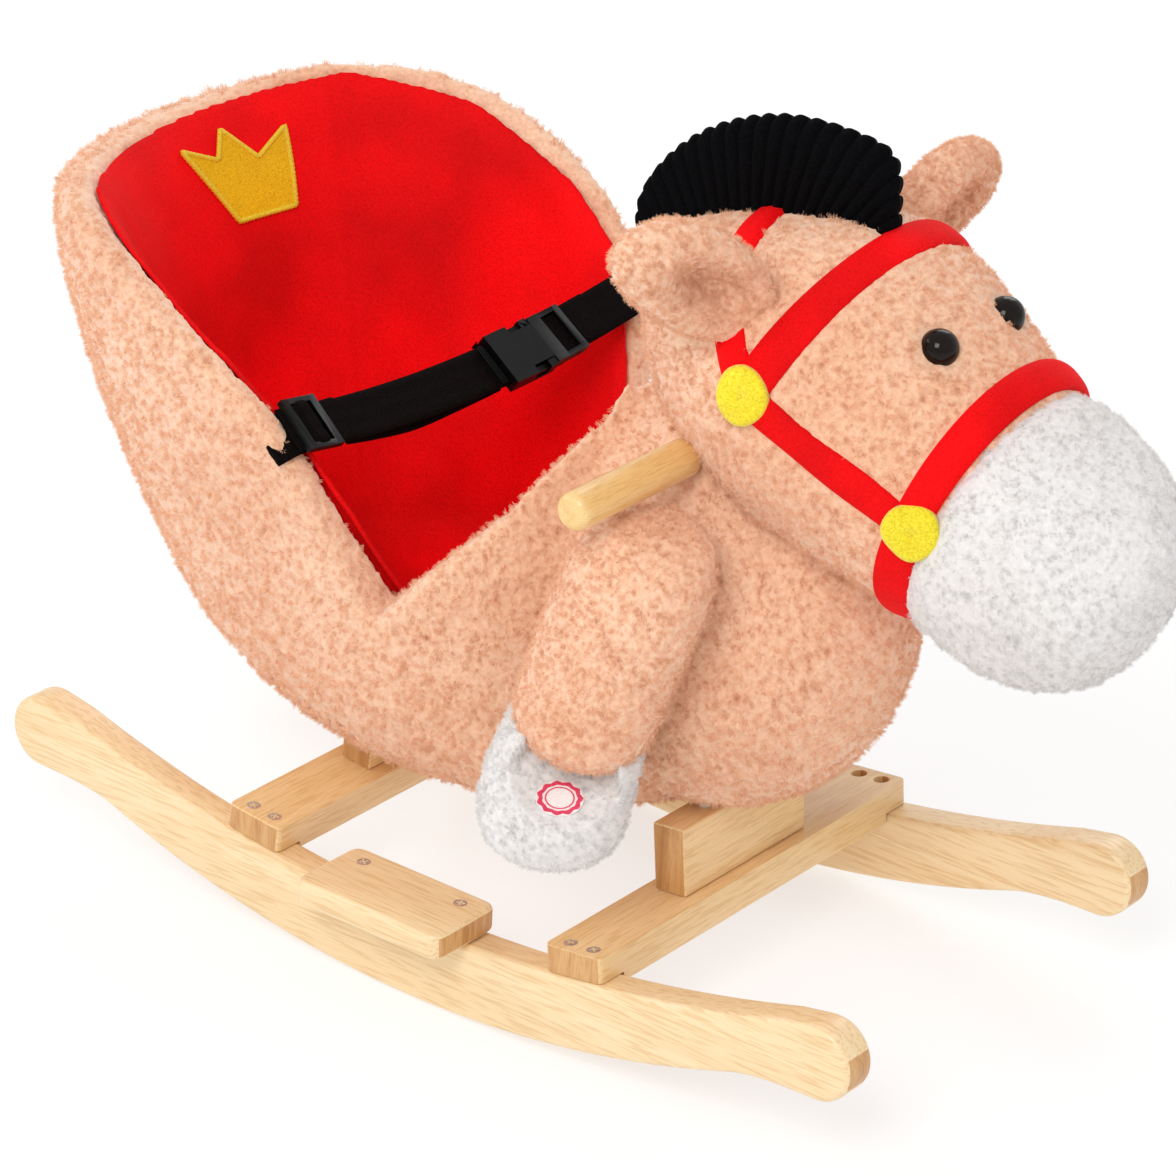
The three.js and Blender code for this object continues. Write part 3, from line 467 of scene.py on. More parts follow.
def area_light(name, place, aim_at, size, power):
    data = bpy.data.lights.new(name, "AREA")
    data.shape = "SQUARE"
    data.size = size
    data.energy = power
    obj = bpy.data.objects.new(name, data)
    place = Vector(place)
    obj.location = place
    obj.rotation_euler = (Vector(aim_at) - place).to_track_quat("-Z", "Y").to_euler()
    bpy.context.scene.collection.objects.link(obj)


def studio():
    scene = bpy.context.scene
    scene.view_settings.view_transform = "Standard"
    world = bpy.data.worlds.new("studio")
    world.use_nodes = True
    sky = world.node_tree.nodes["Background"]
    sky.inputs["Color"].default_value = (1, 1, 1, 1)
    sky.inputs["Strength"].default_value = 0.75
    scene.world = world
    area_light("key", (0.7, -1.9, 1.9), (0, 0, 0.25), 1.0, 26)
    area_light("side", (-1.9, -1.1, 1.3), (0, 0, 0.2), 1.2, 9)
    area_light("back", (-0.6, 1.8, 1.6), (0, 0, 0.3), 1.2, 10)
    floor = add_object("floor", [(-6000, -6000, -1), (6000, -6000, -1), (6000, 6000, -1), (-6000, 6000, -1)],
                       [(0, 1, 2, 3)], None)
    material = new_material("floor", "a8a8a8", 0.9, Specular_IOR_Level=0.1, Emission_Color=(1, 1, 1, 1),
                            Emission_Strength=0.62)[0]
    floor.data.materials.append(material)


# ---------- plush ----------
FURRED = []
COVERED = []
# In the cloth the first three tones run from painted shade in the pile's crevices to painted light on its tips, and the
# fourth darkens slow patches as painted shade; the fibres take the first three at random.
PLUSH_TONES = ("e6b28e", "f0c3a2", "f7d1b4", "f4e6dc")
WHITE_TONES = ("dcdad9", "e5e2e0", "edebe9", "f4f0ee")


def pile(obj, size, height, seed):
    """Presses the curls of a short pile into the mesh: lumps of the given size, and finer ones on them."""
    for i, (grain, share) in enumerate(((size * 1.7, 0.55), (size, 0.6), (size * 0.55, 0.35))):
        texture = bpy.data.textures.new(f"pile_{seed}_{i}", "CLOUDS")
        texture.noise_scale = grain * 0.001
        texture.noise_depth = 1
        texture.noise_basis = "IMPROVED_PERLIN" if i else "ORIGINAL_PERLIN"
        modify(obj, "DISPLACE", texture=texture, strength=height * share * 0.002, mid_level=0.5,
               texture_coords="LOCAL")
        settle(obj)


def fur(obj, count, length, material, seed, keep=None):
    """Notes the fibres that a piece gets at the end, none of them where keep is False."""
    FURRED.append((obj, count, length, material, seed, keep))


def bare(obj, keep):
    """The vertices that keep their fibres: not under a band, a disc or an eye."""
    co = coordinates(obj) * 1000 - (SHIFT_X, 0, 0)
    keep = np.ones(len(co), bool) if keep is None else keep.copy()
    for centre, reach in COVERED:
        keep &= ((co - centre) ** 2).sum(axis=1) > reach * reach
    return keep


def grow_fibres(obj, count, length, material, seed, keep):
    """Short fibres standing out of the pile."""
    obj.data.materials.append(material)
    modifier = modify(obj, "PARTICLE_SYSTEM")
    system = obj.particle_systems[-1]
    settings = system.settings
    settings.type = "HAIR"
    settings.count = count
    settings.hair_length = length * 0.001
    settings.hair_step = 3
    settings.use_advanced_hair = True
    settings.brownian_factor = 0.0002
    settings.factor_random = 0.0002
    settings.child_type = "SIMPLE"
    settings.rendered_child_count = 10
    settings.child_radius = 0.0016
    settings.roughness_2 = 0.0006
    settings.roughness_endpoint = 0.0008
    settings.clump_factor = 0.25
    settings.radius_scale = 0.00016
    settings.root_radius = 1.0
    settings.tip_radius = 0.35
    settings.material = len(obj.data.materials)
    system.seed = seed
    group = obj.vertex_groups.new(name="fibres")
    group.add([int(i) for i in np.flatnonzero(bare(obj, keep))], 1.0, "REPLACE")
    system.vertex_group_density = group.name


def grow_all_fibres():
    for obj, count, length, material, seed, keep in FURRED:
        grow_fibres(obj, count, length, material, seed, keep)


def soft_union(name, shapes, voxel, rounds, material, cuts=()):
    """One smooth closed form out of overlapping ones, with cuts taken out before it is rounded."""
    obj = add_object(name, *merged(shapes), material)
    modify(obj, "REMESH", mode="VOXEL", voxel_size=voxel * 0.001)
    settle(obj)
    cut(obj, cuts)
    if cuts:
        modify(obj, "REMESH", mode="VOXEL", voxel_size=voxel * 0.001)
        settle(obj)
    modify(obj, "SMOOTH", factor=0.5, iterations=rounds)
    modify(obj, "SUBSURF", levels=1, render_levels=1)
    return settle(obj)


def rim_height(x, y):
    """Height of the seat's rim above a point, on the rolled rim line."""
    rear = np.array(RIM_REAR, float)
    front = np.array(RIM_FRONT, float)
    height = np.where(x < rear[-1, 0], np.interp(x, rear[:, 0], rear[:, 1]), np.interp(x, front[:, 0], front[:, 1]))
    return height + y * math.tan(RIM_ROLL)


def well_floor(x):
    return WELL_FLOOR + (x - SEAT_X) * math.tan(TILT)


def well_share(x, y, z, extra=0):
    """How far out a point is in the seat well: 1 on its wall, less inside."""
    rows = np.array(WELL, float)
    rear, front, half = (np.interp(z, rows[:, 0], rows[:, k]) for k in (1, 2, 3))
    along = (x - (rear + front) / 2) / ((front - rear) / 2 + extra)
    return np.hypot(along, y / (half + extra))


def in_well(co, extra):
    x, y, z = (co * 1000 - (SHIFT_X, 0, 0)).T
    inside = well_share(x, y, z, extra) < 1
    return inside & (z > well_floor(x) - extra) & (z < rim_height(x, y) + 3)


def clear_of_lining(obj, room=2.2):
    """Pushes the body's wall out from behind the lining, by room beyond it."""
    co = coordinates(obj) * 1000 - (SHIFT_X, 0, 0)
    x, y, z = co.T
    rows = np.array(WELL, float)
    middle = (np.interp(z, rows[:, 0], rows[:, 1]) + np.interp(z, rows[:, 0], rows[:, 2])) / 2
    share = well_share(x, y, z, room)
    inside = (share < 1) & (share > 0.5) & (z > well_floor(x) + 4) & (z < rim_height(x, y) - 2)
    out = np.where(inside, 1 / np.maximum(share, 0.5), 1)
    co[:, 0] = middle + (x - middle) * out
    co[:, 1] = y * out
    set_coordinates(obj, mm(co))


def clear_of_legs(obj):
    """Presses the chest in where the legs swing against it."""
    co = coordinates(obj) * 1000 - (SHIFT_X, 0, 0)
    rows = spline(LEG[:-1] + HOOF[1:], 3)
    for side in SIDES.values():
        for swing in (-8, -4, 0, 4, 8):
            a = math.radians(swing)
            x, z = rows[:, 0] - LEG_PIVOT[0], rows[:, 1] - LEG_PIVOT[1]
            xs = LEG_PIVOT[0] + x * math.cos(a) + z * math.sin(a)
            zs = LEG_PIVOT[1] - x * math.sin(a) + z * math.cos(a)
            for cx, cz, row in zip(xs, zs, rows):
                cy = side * (LEG_Y - row[5])
                r = row[3] * 0.93
                near = (np.abs(co[:, 0] - cx) < r) & (np.abs(co[:, 2] - cz) < r) & (side * co[:, 1] > 40)
                gap = np.hypot(co[near, 0] - cx, co[near, 2] - cz)
                inner = side * cy - np.sqrt(np.maximum(r * r - gap * gap, 0))
                y = side * co[near, 1]
                co[near, 1] = side * np.where(gap < r, np.minimum(y, inner), y)
    set_coordinates(obj, mm(co))


def body_plush():
    material = cloth_material("plush", PLUSH_TONES, 0.95, 420, 0.3, Sheen_Weight=0.35, Sheen_Roughness=0.6)
    fibre = hair_material("plush_fibre", PLUSH_TONES)
    well = loft(tub_rings(WELL, WELL_SLACK))
    floor_cut = slab(-400, 400, -300, 300, 0, WELL_FLOOR - WELL_SLACK, TILT, (SEAT_X, WELL_FLOOR - WELL_SLACK))
    well_tool = add_object("well_tool", *well, None)
    cut(well_tool, [floor_cut])
    well_shape = (coordinates(well_tool) * 1000 - (SHIFT_X, 0, 0), [tuple(p.vertices) for p in well_tool.data.polygons])
    bpy.data.objects.remove(well_tool)
    outline = [(x, z + 2) for x, z in RIM_REAR[:1] + [tuple(r) for r in spline(RIM_REAR[1:], 4)] + RIM_FRONT[1:]]
    rim = prism(outline + [(-400, 600)], -300, 300, RIM_ROLL)
    under = slab(-400, 400, -300, 300, -200, SEAT_Z, TILT, (SEAT_X, SEAT_Z))
    shapes = [loft(tub_rings(TUB, -2)), ball(CHEST[0], np.array(CHEST[1]) - 2), ball(NECK[0], np.array(NECK[1]) - 2)]
    body = soft_union("body_plush_pile", shapes, 4, 7, material, [rim, well_shape, under])
    clear_of_legs(body)
    pile(body, 5, 2.2, 1)
    clear_of_lining(body)
    keep = ~in_well(coordinates(body), 9) & (coordinates(body)[:, 2] > 0.085)
    fur(body, 26000, 2.0, fibre, 11, keep)
    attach(body, "horse")
    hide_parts("body_plush")
    return body, material, fibre


def eye_dimples(obj):
    """Draws the plush in round each eye."""
    co = coordinates(obj) * 1000 - (SHIFT_X, 0, 0)
    for side in SIDES.values():
        centre = np.array((EYE["x"], side * EYE["y"], EYE["z"]))
        away = co - centre
        distance = np.linalg.norm(away, axis=1)
        pull = 3.2 * np.exp(-((distance / 13) ** 2))
        co -= pull[:, None] * np.array((0.42, side * 0.3, 0.85))
    set_coordinates(obj, mm(co))


def head_plush(material, fibre):
    head = soft_union("head_plush_pile", [loft(trunk_rings(HEAD, count=72))], 3.4, 4, material)
    eye_dimples(head)
    tree = surface_tree(head)
    pile(head, 4.6, 2.0, 2)
    fur(head, 9500, 1.8, fibre, 12)
    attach(head, "horse")
    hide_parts("head_plush")
    return tree


def muzzle_plush():
    material = cloth_material("white_plush", WHITE_TONES, 0.95, 420, 0.2, Sheen_Weight=0.3, Sheen_Roughness=0.6)
    fibre = hair_material("white_fibre", WHITE_TONES)
    muzzle = soft_union("muzzle_pile", [loft(trunk_rings(MUZZLE, count=72))], 3.4, 3, material)
    pile(muzzle, 4.2, 1.0, 3)
    fur(muzzle, 5500, 1.4, fibre, 13)
    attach(muzzle, "horse")
    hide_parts("muzzle_plush")
    return material, fibre


def limbs(plush, white):
    for name, side in SIDES.items():
        leg = soft_union(f"leg_{name}_pile", [loft(trunk_rings(LEG, side * LEG_Y, 56, 5, side))], 3, 3, plush[0])
        pile(leg, 4.4, 1.8, 4 + side)
        fur(leg, 4200, 1.7, plush[1], 14 + side)
        hoof = soft_union(f"hoof_{name}_pile", [loft(trunk_rings(HOOF, side * LEG_Y, 56, 5, side))], 3, 3, white[0])
        keep = None
        if name == "right":
            press_flat(hoof)
        pile(hoof, 4.0, 0.9, 8 + side)
        if name == "right":
            away = np.linalg.norm(coordinates(hoof) - mm(PRESS["at"]), axis=1)
            keep = away > 0.0115
        fur(hoof, 2800, 1.4, white[1], 18 + side, keep)
        for piece, node, slot in ((leg, f"leg_{name}", "plush"), (hoof, f"hoof_{name}", "white_plush")):
            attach(piece, f"leg_{name}")
            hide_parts(node)


def press_flat(hoof):
    """Flattens the hoof under the press patch."""
    co = coordinates(hoof) * 1000 - (SHIFT_X, 0, 0)
    normal = np.array(PRESS["normal"]) / np.linalg.norm(PRESS["normal"])
    away = co - np.array(PRESS["at"])
    height = away @ normal
    across = np.linalg.norm(away - height[:, None] * normal, axis=1)
    over = (across < 28) & (height > -20)
    limit = -1.4 + 6 * np.clip((across - 11) / 17, 0, 1) ** 1.4
    drop = np.where(over & (height > limit), height - limit, 0)
    set_coordinates(hoof, mm(co - drop[:, None] * normal))


def ears(plush):
    base = np.array((136, 58, 386))
    tips = {"right": np.array((122, 147, 432)), "left": np.array((126, 146, 396))}
    rows = spline([(0, 14, 18), (0.15, 17, 25), (0.4, 18, 29), (0.65, 16, 27), (0.85, 12, 19), (0.96, 7, 10),
                   (1, 2, 2)], 4)
    slant = math.radians(20)
    tall = np.array((math.sin(slant), 0, math.cos(slant)))
    flat = np.array((math.cos(slant), 0, -math.sin(slant)))
    for name, side in SIDES.items():
        rings = []
        for t, thick, wide in rows:
            centre = base + (tips[name] - base) * t + np.array((0, 0, 16 * t * (1 - t)))
            centre = centre * (1, side, 1)
            angles = np.linspace(0, 2 * np.pi, 40, endpoint=False)
            across, out = np.sin(angles), np.cos(angles)
            dish = 1 - 1.15 * np.exp(-((across / 0.5) ** 2)) * np.sin(np.pi * min(t * 1.25, 1)) * (out > 0)
            ring = centre + across[:, None] * wide * tall + (out * dish)[:, None] * thick * flat
            rings.append(ring)
        ear = soft_union(f"ear_{name}_pile", [loft(rings)], 2.6, 2, plush[0])
        pile(ear, 4.2, 1.8, 30 + side)
        fur(ear, 2600, 1.5, plush[1], 34 + side)
        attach(ear, "horse")
        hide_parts(f"ear_{name}")


# ---------- seat lining ----------
def lining_column(angle):
    """Points from the middle of the seat floor, out and up the wall to the rim, at one angle round the seat."""
    c, s = math.cos(angle), math.sin(angle)
    rows = np.array(WELL, float)
    heights = np.arange(WELL_FLOOR - 20, 420, 1.0)
    rear, front, half = (np.interp(heights, rows[:, 0], rows[:, k]) - shrink
                         for k, shrink in ((1, -2.2), (2, 2.2), (3, 2.2)))
    x = (rear + front) / 2 + (front - rear) / 2 * c
    y = half * s
    start = int(np.argmax(heights >= well_floor(x) + 2))
    over = heights >= rim_height(x, y) - 1.5
    over[:start] = False
    end = int(np.argmax(over)) if over.any() else len(heights) - 1
    wall = np.stack([x, y, heights], axis=1)[start:end + 1]
    middle = np.array((-100, 0, well_floor(-100) + 2))
    floor = middle + (wall[0] - middle) * np.linspace(0.02, 1, 30)[:-1, None]
    path = resample(np.vstack([floor, wall]), 110)
    for _ in range(130):
        path[1:-1] = (path[:-2] + 2 * path[1:-1] + path[2:]) / 4
    return resample(path, 110)


def seat_lining():
    # The fourth tone is the painted shade of the lining's slow patches; the first three run from painted shade in the
    # crevices to painted light on the tips.
    tones = ("e20005", "fb0008", "ff0c12", "d6b4b4")
    material = cloth_material("red_velboa", tones, 0.8, 900, 0.25, 15, Sheen_Weight=0.1, Sheen_Roughness=0.4,
                              Sheen_Tint=srgb("ff2828"), Specular_IOR_Level=0.15)
    count = 360
    columns = [lining_column(2 * math.pi * i / count) for i in range(count)]
    grid = np.array(columns)
    n = grid.shape[1]
    points = grid.reshape(-1, 3)
    faces = []
    for i in range(count):
        k = (i + 1) % count
        for j in range(n - 1):
            faces.append((i * n + j, k * n + j, k * n + j + 1, i * n + j + 1))
    points = np.vstack([points, grid[:, 0].mean(axis=0)])
    faces += [(i * n, len(points) - 1, ((i + 1) % count) * n) for i in range(count)]
    lining = add_object("seat_lining_velboa", points, faces, material)
    folds(lining)
    modify(lining, "SOLIDIFY", thickness=0.0022, offset=0)
    settle(lining)
    tree = surface_tree(lining)
    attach(lining, "horse")
    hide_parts("seat_lining")
    return material, tree


def folds(obj):
    """Slack folds and two sewn seams in the lining."""
    co = coordinates(obj) * 1000 - (SHIFT_X, 0, 0)
    x, y, z = co.T
    angle = np.arctan2(y, x + 100)
    height = z - well_floor(x)
    wall = np.clip((height - 12) / 40, 0, 1)
    rim = np.clip((rim_height(x, y) - z) / 30, 0, 1)
    wave = 1.6 * np.sin(9 * angle + height * 0.035) + 1.1 * np.sin(17 * angle - height * 0.05 + 1.3)
    push = wave * wall * rim
    push -= 5.5 * np.exp(-((rim_height(x, y) - z) / 7) ** 2)
    for seam in (2.62, -2.62):
        push -= -1.8 * np.exp(-((angle - seam) / 0.012) ** 2) * wall
    crease = 2.2 * np.exp(-((height - 20) / 6) ** 2) * (x < -60)
    inward = np.stack([-np.cos(angle), -np.sin(angle), np.zeros_like(x)], axis=1)
    co += inward * (push * 0.6)[:, None]
    co[:, 2] -= crease * 0.5
    set_coordinates(obj, mm(co))


def crown(tree):
    tones = ("c99600", "ecb604", "f8c814", "efe8d0")
    material = cloth_material("gold_thread", tones, 0.6, 1300, 0.4, 20, Specular_IOR_Level=0.2)
    border = cloth_material("gold_border", ("caa008", "f0cc18", "fbe040", "efe8d0"), 0.5, 1600, 0.5, 20)
    normal = Vector(CROWN["normal"]).normalized()
    right = Vector((0, 0, 1)).cross(normal).normalized()
    up = normal.cross(right)
    turn = CROWN["roll"]

    def on_lining(px, py, lift):
        px, py = px * math.cos(turn) - py * math.sin(turn), px * math.sin(turn) + py * math.cos(turn)
        start = Vector(CROWN["at"]) + right * px + up * py + normal * 60
        hit, hit_normal, _, _ = tree.ray_cast(start, -normal)
        if hit is None:
            hit = start - normal * 60
        return hit + normal * lift

    columns, rows = 65, 25
    low = resample(np.array(CROWN_BASE, float), columns)
    spans = [np.linspace(a, b, (columns - 1) // 4, endpoint=False) for a, b in zip(CROWN_TOP, CROWN_TOP[1:])]
    high = np.vstack([*spans, CROWN_TOP[-1]])
    points = []
    for j in range(rows):
        points += [on_lining(px, py, 0.9) for px, py in low + (high - low) * j / (rows - 1)]
    faces = []
    for j in range(rows - 1):
        for i in range(columns - 1):
            a = j * columns + i
            faces.append((a, a + 1, a + columns + 1, a + columns))
    patch = add_object("crown_cloth", points, faces, material)
    modify(patch, "SOLIDIFY", thickness=0.0012, offset=0)
    settle(patch)
    outline = CROWN_BASE + CROWN_TOP[::-1]
    ring = resample(np.array(outline + outline[:1]), 190)[:-1]
    path = np.array([on_lining(px, py, 1.1) for px, py in ring])
    stitches = tube(path, 1.5, 8, closed=True, ribs=95, rib_height=0.25)
    edge = add_object("crown_border", *stitches, border)
    for piece in (patch, edge):
        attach(piece, "horse")
    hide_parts("crown_patch")


def tube(path, radius, count, closed=False, ribs=0, rib_height=0.0):
    """A round tube along a path, with optional ribs like satin stitches."""
    path = np.asarray(path, float)
    n = len(path)
    rings = []
    for i in range(n):
        ahead = path[(i + 1) % n] if closed or i + 1 < n else path[i]
        behind = path[i - 1] if closed or i else path[i]
        along = ahead - behind
        along = along / np.linalg.norm(along)
        side = np.cross(along, (0.31, 0.17, 0.93))
        side = side / np.linalg.norm(side)
        up = np.cross(side, along)
        r = radius + rib_height * math.cos(2 * math.pi * i * ribs / n)
        rings.append(ellipse(path[i], side * r, up * r, count))
    return loft(rings, closed)


# ---------- mane ----------
def mane():
    tones = ("020203", "050507", "0a0a0e", "d8d8e0")
    material = cloth_material("corduroy", tones, 0.9, 900, 0.35, 14, Specular_IOR_Level=0.06)
    per_rib = 9
    count = MANE_RIBS * per_rib + 1
    outer = resample(spline(MANE_OUTER, 8), count)
    inner = resample(spline(MANE_INNER, 8), count)
    profile = np.linspace(0, 1, 27)
    rings = []
    for i in range(count):
        phase = math.pi * i / per_rib
        rib = abs(math.sin(phase)) ** 0.6
        end = min(i, count - 1 - i) / 6
        full = math.sqrt(max(0.05, min(1, end)))
        root, top = inner[i], outer[i]
        reach = np.linalg.norm(top - root)
        direction = (top - root) / reach
        height = (reach - 1.5 + 2.6 * rib) * (0.94 + 0.06 * full)
        half = (6.4 + 1.9 * rib) * full
        ring = []
        for side in (-1, 1):
            for t in (profile if side < 0 else profile[::-1]):
                rounded = math.sqrt(max(0.0, 1 - max(0, (t - 0.86) / 0.14) ** 2))
                swell = (0.86 + 0.2 * math.sin(math.pi * min(t * 1.1, 1))) * rounded
                x, z = root + direction * height * t
                ring.append((x, side * max(half * swell, 0.15), z))
        rings.append(np.array(ring))
    obj = add_object("mane_corduroy", *loft(rings), material)
    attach(obj, "horse")
    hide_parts("mane")


# ---------- bridle ----------
def on_head(tree, start, direction):
    """Where a line from outside first meets the head, and which way that place faces."""
    hit, normal, _, _ = tree.ray_cast(Vector(start), Vector(direction))
    return (np.array(hit), np.array(normal)) if hit is not None else (None, None)


def loop_path(tree, middle, towards, first, last, count):
    """Points where a plane across the head cuts it, from one angle to another round the middle."""
    up = np.array((towards[0] - middle[0], 0, towards[1] - middle[1]), float)
    up /= np.linalg.norm(up)
    centre = np.array((middle[0], 0, middle[1]), float)
    path = []
    for angle in np.linspace(math.radians(first), math.radians(last), count):
        out = math.sin(angle) * up + math.cos(angle) * np.array((0, -1, 0))
        place, normal = on_head(tree, centre + out * 220, -out)
        if place is not None:
            path.append((place, normal))
    return path


def side_path(tree, start, end, side, count):
    path = []
    for t in np.linspace(0, 1, count):
        x, z = start[0] + (end[0] - start[0]) * t, start[1] + (end[1] - start[1]) * t
        place, normal = on_head(tree, (x, side * 200, z), (0, -side, 0))
        path.append((place, normal))
    return path


def band(name, path, material, width, closed=False, lift=0.6, puff=2.9, wobble=0.5, seed=0):
    """A padded cloth band laid along a path on the head, its edges tucked into the pile."""
    points = np.array([p for p, _ in path])
    normals = np.array([n for _, n in path])
    for _ in range(6):
        if closed:
            points = (np.roll(points, 1, 0) + 2 * points + np.roll(points, -1, 0)) / 4
            normals = (np.roll(normals, 1, 0) + 2 * normals + np.roll(normals, -1, 0)) / 4
        else:
            points[1:-1] = (points[:-2] + 2 * points[1:-1] + points[2:]) / 4
            normals[1:-1] = (normals[:-2] + 2 * normals[1:-1] + normals[2:]) / 4
    drift = wobble * np.sin(np.linspace(0, 9, len(points)) + seed)
    across_at = np.linspace(-1, 1, 17)
    rings = []
    n = len(points)
    for i in range(n):
        ahead = points[(i + 1) % n] if closed or i + 1 < n else points[i]
        behind = points[i - 1] if closed or i else points[i]
        along = (ahead - behind) / np.linalg.norm(ahead - behind)
        COVERED.append((points[i], width / 2 + 1))
        normal = normals[i] - along * (normals[i] @ along)
        normal /= np.linalg.norm(normal)
        across = np.cross(along, normal)
        half = width / 2 + drift[i]
        top = [points[i] + across * half * s + normal * (lift + puff * (1 - abs(s) ** 3.2)) for s in across_at]
        low = [points[i] + across * half * 0.93 * s - normal * 1.5 for s in across_at[::-1]]
        rings.append(np.array(top + low))
    obj = add_object(name, *loft(rings, closed), material)
    modify(obj, "SUBSURF", levels=1, render_levels=1)
    settle(obj)
    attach(obj, "horse")
    return obj


def bridle(tree, red):
    brow = band("brow_band_velboa", loop_path(tree, UPPER_DISC, BROW, -4, 184, 70), red, BAND_WIDTH + 2, seed=1)
    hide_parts("brow_band")
    poll = band("poll_strap_velboa", loop_path(tree, UPPER_DISC, POLL, -2, 182, 70), red, BAND_WIDTH, seed=2)
    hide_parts("headstall")
    for name, side in SIDES.items():
        path = side_path(tree, UPPER_DISC, LOWER_DISC, side, 30)
        band(f"cheek_strap_{name}_velboa", path, red, BAND_WIDTH, seed=3 + side)
    middle = ((NOSE_TOP[0] + NOSE_BOTTOM[0]) / 2, (NOSE_TOP[1] + NOSE_BOTTOM[1]) / 2)
    nose = band("nose_band_velboa", loop_path(tree, middle, NOSE_TOP, 0, 356, 110), red, BAND_WIDTH + 1, closed=True,
                lift=1.2, seed=6)
    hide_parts("nose_band")


def felt_discs(tree):
    tones = ("d9c40c", "f0dd12", "fbee3a", "f2ecc8")
    material = cloth_material("yellow_felt", tones, 0.88, 800, 0.5, 30, Sheen_Weight=0.3)
    rng = np.random.default_rng(5)
    for place, (x, z) in (("upper", UPPER_DISC), ("lower", LOWER_DISC)):
        for name, side in SIDES.items():
            spot, normal = on_head(tree, (x, side * 200, z), (0, -side, 0))
            disc = felt_disc(f"{place}_disc_{name}_felt", spot + normal * 3.2, normal, rng, material)
            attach(disc, "horse")
            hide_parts(f"{place}_disc_{name}")


def felt_disc(name, at, normal, rng, material):
    """A soft round of felt, drawn in at its middle by a few stitches."""
    COVERED.append((np.array(at), DISC_R + 1))
    normal = Vector(normal).normalized()
    right = Vector((0, 0, 1)).cross(normal).normalized()
    up = normal.cross(right)
    waves = [(k, rng.uniform(0.1, 0.5), rng.uniform(0, 6.28)) for k in (2, 3, 5)]
    radial = np.linspace(0, 1, 15)
    angles = np.linspace(0, 2 * np.pi, 56, endpoint=False)
    rows = []
    for r in radial[1:]:
        row = []
        for a in angles:
            edge = DISC_R + sum(w * math.sin(k * a + p) for k, w, p in waves)
            ripple = 0.5 * math.sin(3 * a + waves[0][2]) * r * r
            lift = 2.6 * (1 - r ** 6) ** 0.5 if r < 1 else 0.0
            dimple = -1.6 * math.exp(-((r / 0.2) ** 2))
            place = Vector(at) + right * edge * r * math.cos(a) + up * edge * r * math.sin(a)
            row.append(place + normal * (lift + dimple + ripple))
        rows.append(row)
    points = [Vector(at) + normal * 1.0] + [p for row in rows for p in row]
    m, n = len(rows), len(angles)
    faces = [(0, 1 + j, 1 + (j + 1) % n) for j in range(n)]
    for i in range(m - 1):
        for j in range(n):
            k = (j + 1) % n
            faces.append((1 + i * n + j, 1 + (i + 1) * n + j, 1 + (i + 1) * n + k, 1 + i * n + k))
    start = len(points)
    points += [p - normal * 2.4 for p in rows[-1]]
    faces += [(1 + (m - 1) * n + j, start + j, start + (j + 1) % n, 1 + (m - 1) * n + (j + 1) % n) for j in range(n)]
    faces.append(tuple(range(start, start + n)))
    for k in range(3):
        a = 0.5 + k * math.pi / 3
        ends = [Vector(at) + (right * math.cos(a) + up * math.sin(a)) * s for s in (-2.6, 0, 2.6)]
        path = [ends[0] + normal * 0.6, ends[1] + normal * 1.9, ends[2] + normal * 0.6]
        thread = tube(resample(np.array(path), 9), 0.45, 6)
        base = len(points)
        points += list(thread[0])
        faces += [tuple(i + base for i in f) for f in thread[1]]
    return add_object(name, points, faces, material)


def eyes():
    material = eye_material()
    for name, side in SIDES.items():
        centre = (EYE["x"], side * EYE["y"], EYE["z"])
        COVERED.append((np.array(centre), EYE["r"] + 3.5))
        eye = add_object(f"eye_{name}_polished", *ball(centre, (EYE["r"],) * 3, 64), material)
        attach(eye, "horse")
        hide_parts(f"eye_{name}")


# ---------- lap belt ----------
def belt_point(t):
    near, far = np.array(BELT["near"], float), np.array(BELT["far"], float)
    point = near + (far - near) * t
    point[2] -= 4 * BELT["sag"] * t * (1 - t)
    return point


def belt_frame(t):
    along = belt_point(t + 0.01) - belt_point(t - 0.01)
    along /= np.linalg.norm(along)
    flat = np.array((math.cos(BELT["lean"]), 0, math.sin(BELT["lean"])))
    up = np.cross(flat, along)
    up /= np.linalg.norm(up)
    if up[2] < 0:
        up = -up
    return along, np.cross(along, up), up


def belt_place(t, a, u):
    """A point on the belt: t along it, a across it and u above it."""
    _, across, up = belt_frame(t)
    return belt_point(t) + across * a + up * u


def web(name, stations, material, body="horse"):
    """Flat webbing through stations of (t, height above the belt line, twist in degrees), on a body if it has one."""
    stations = spline(stations, 10)
    rings = []
    half, thick = BELT["web"] / 2, 0.8
    section = [(s, thick) for s in np.linspace(-1, 1, 13)] + [(s, -thick) for s in np.linspace(1, -1, 13)]
    for t, rise, twist in stations:
        turn = math.radians(twist)
        ring = []
        for s, h in section:
            edge = thick * (1 - abs(s) ** 12) ** 0.5
            a, u = s * half, math.copysign(max(edge, 0.12), h) + 0.25 * math.cos(s * 9)
            ring.append(belt_place(t, a * math.cos(turn) - u * math.sin(turn),
                                   rise + a * math.sin(turn) + u * math.cos(turn)))
        rings.append(np.array(ring))
    obj = add_object(name, *loft(rings), material)
    if body:
        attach(obj, body)
    return obj


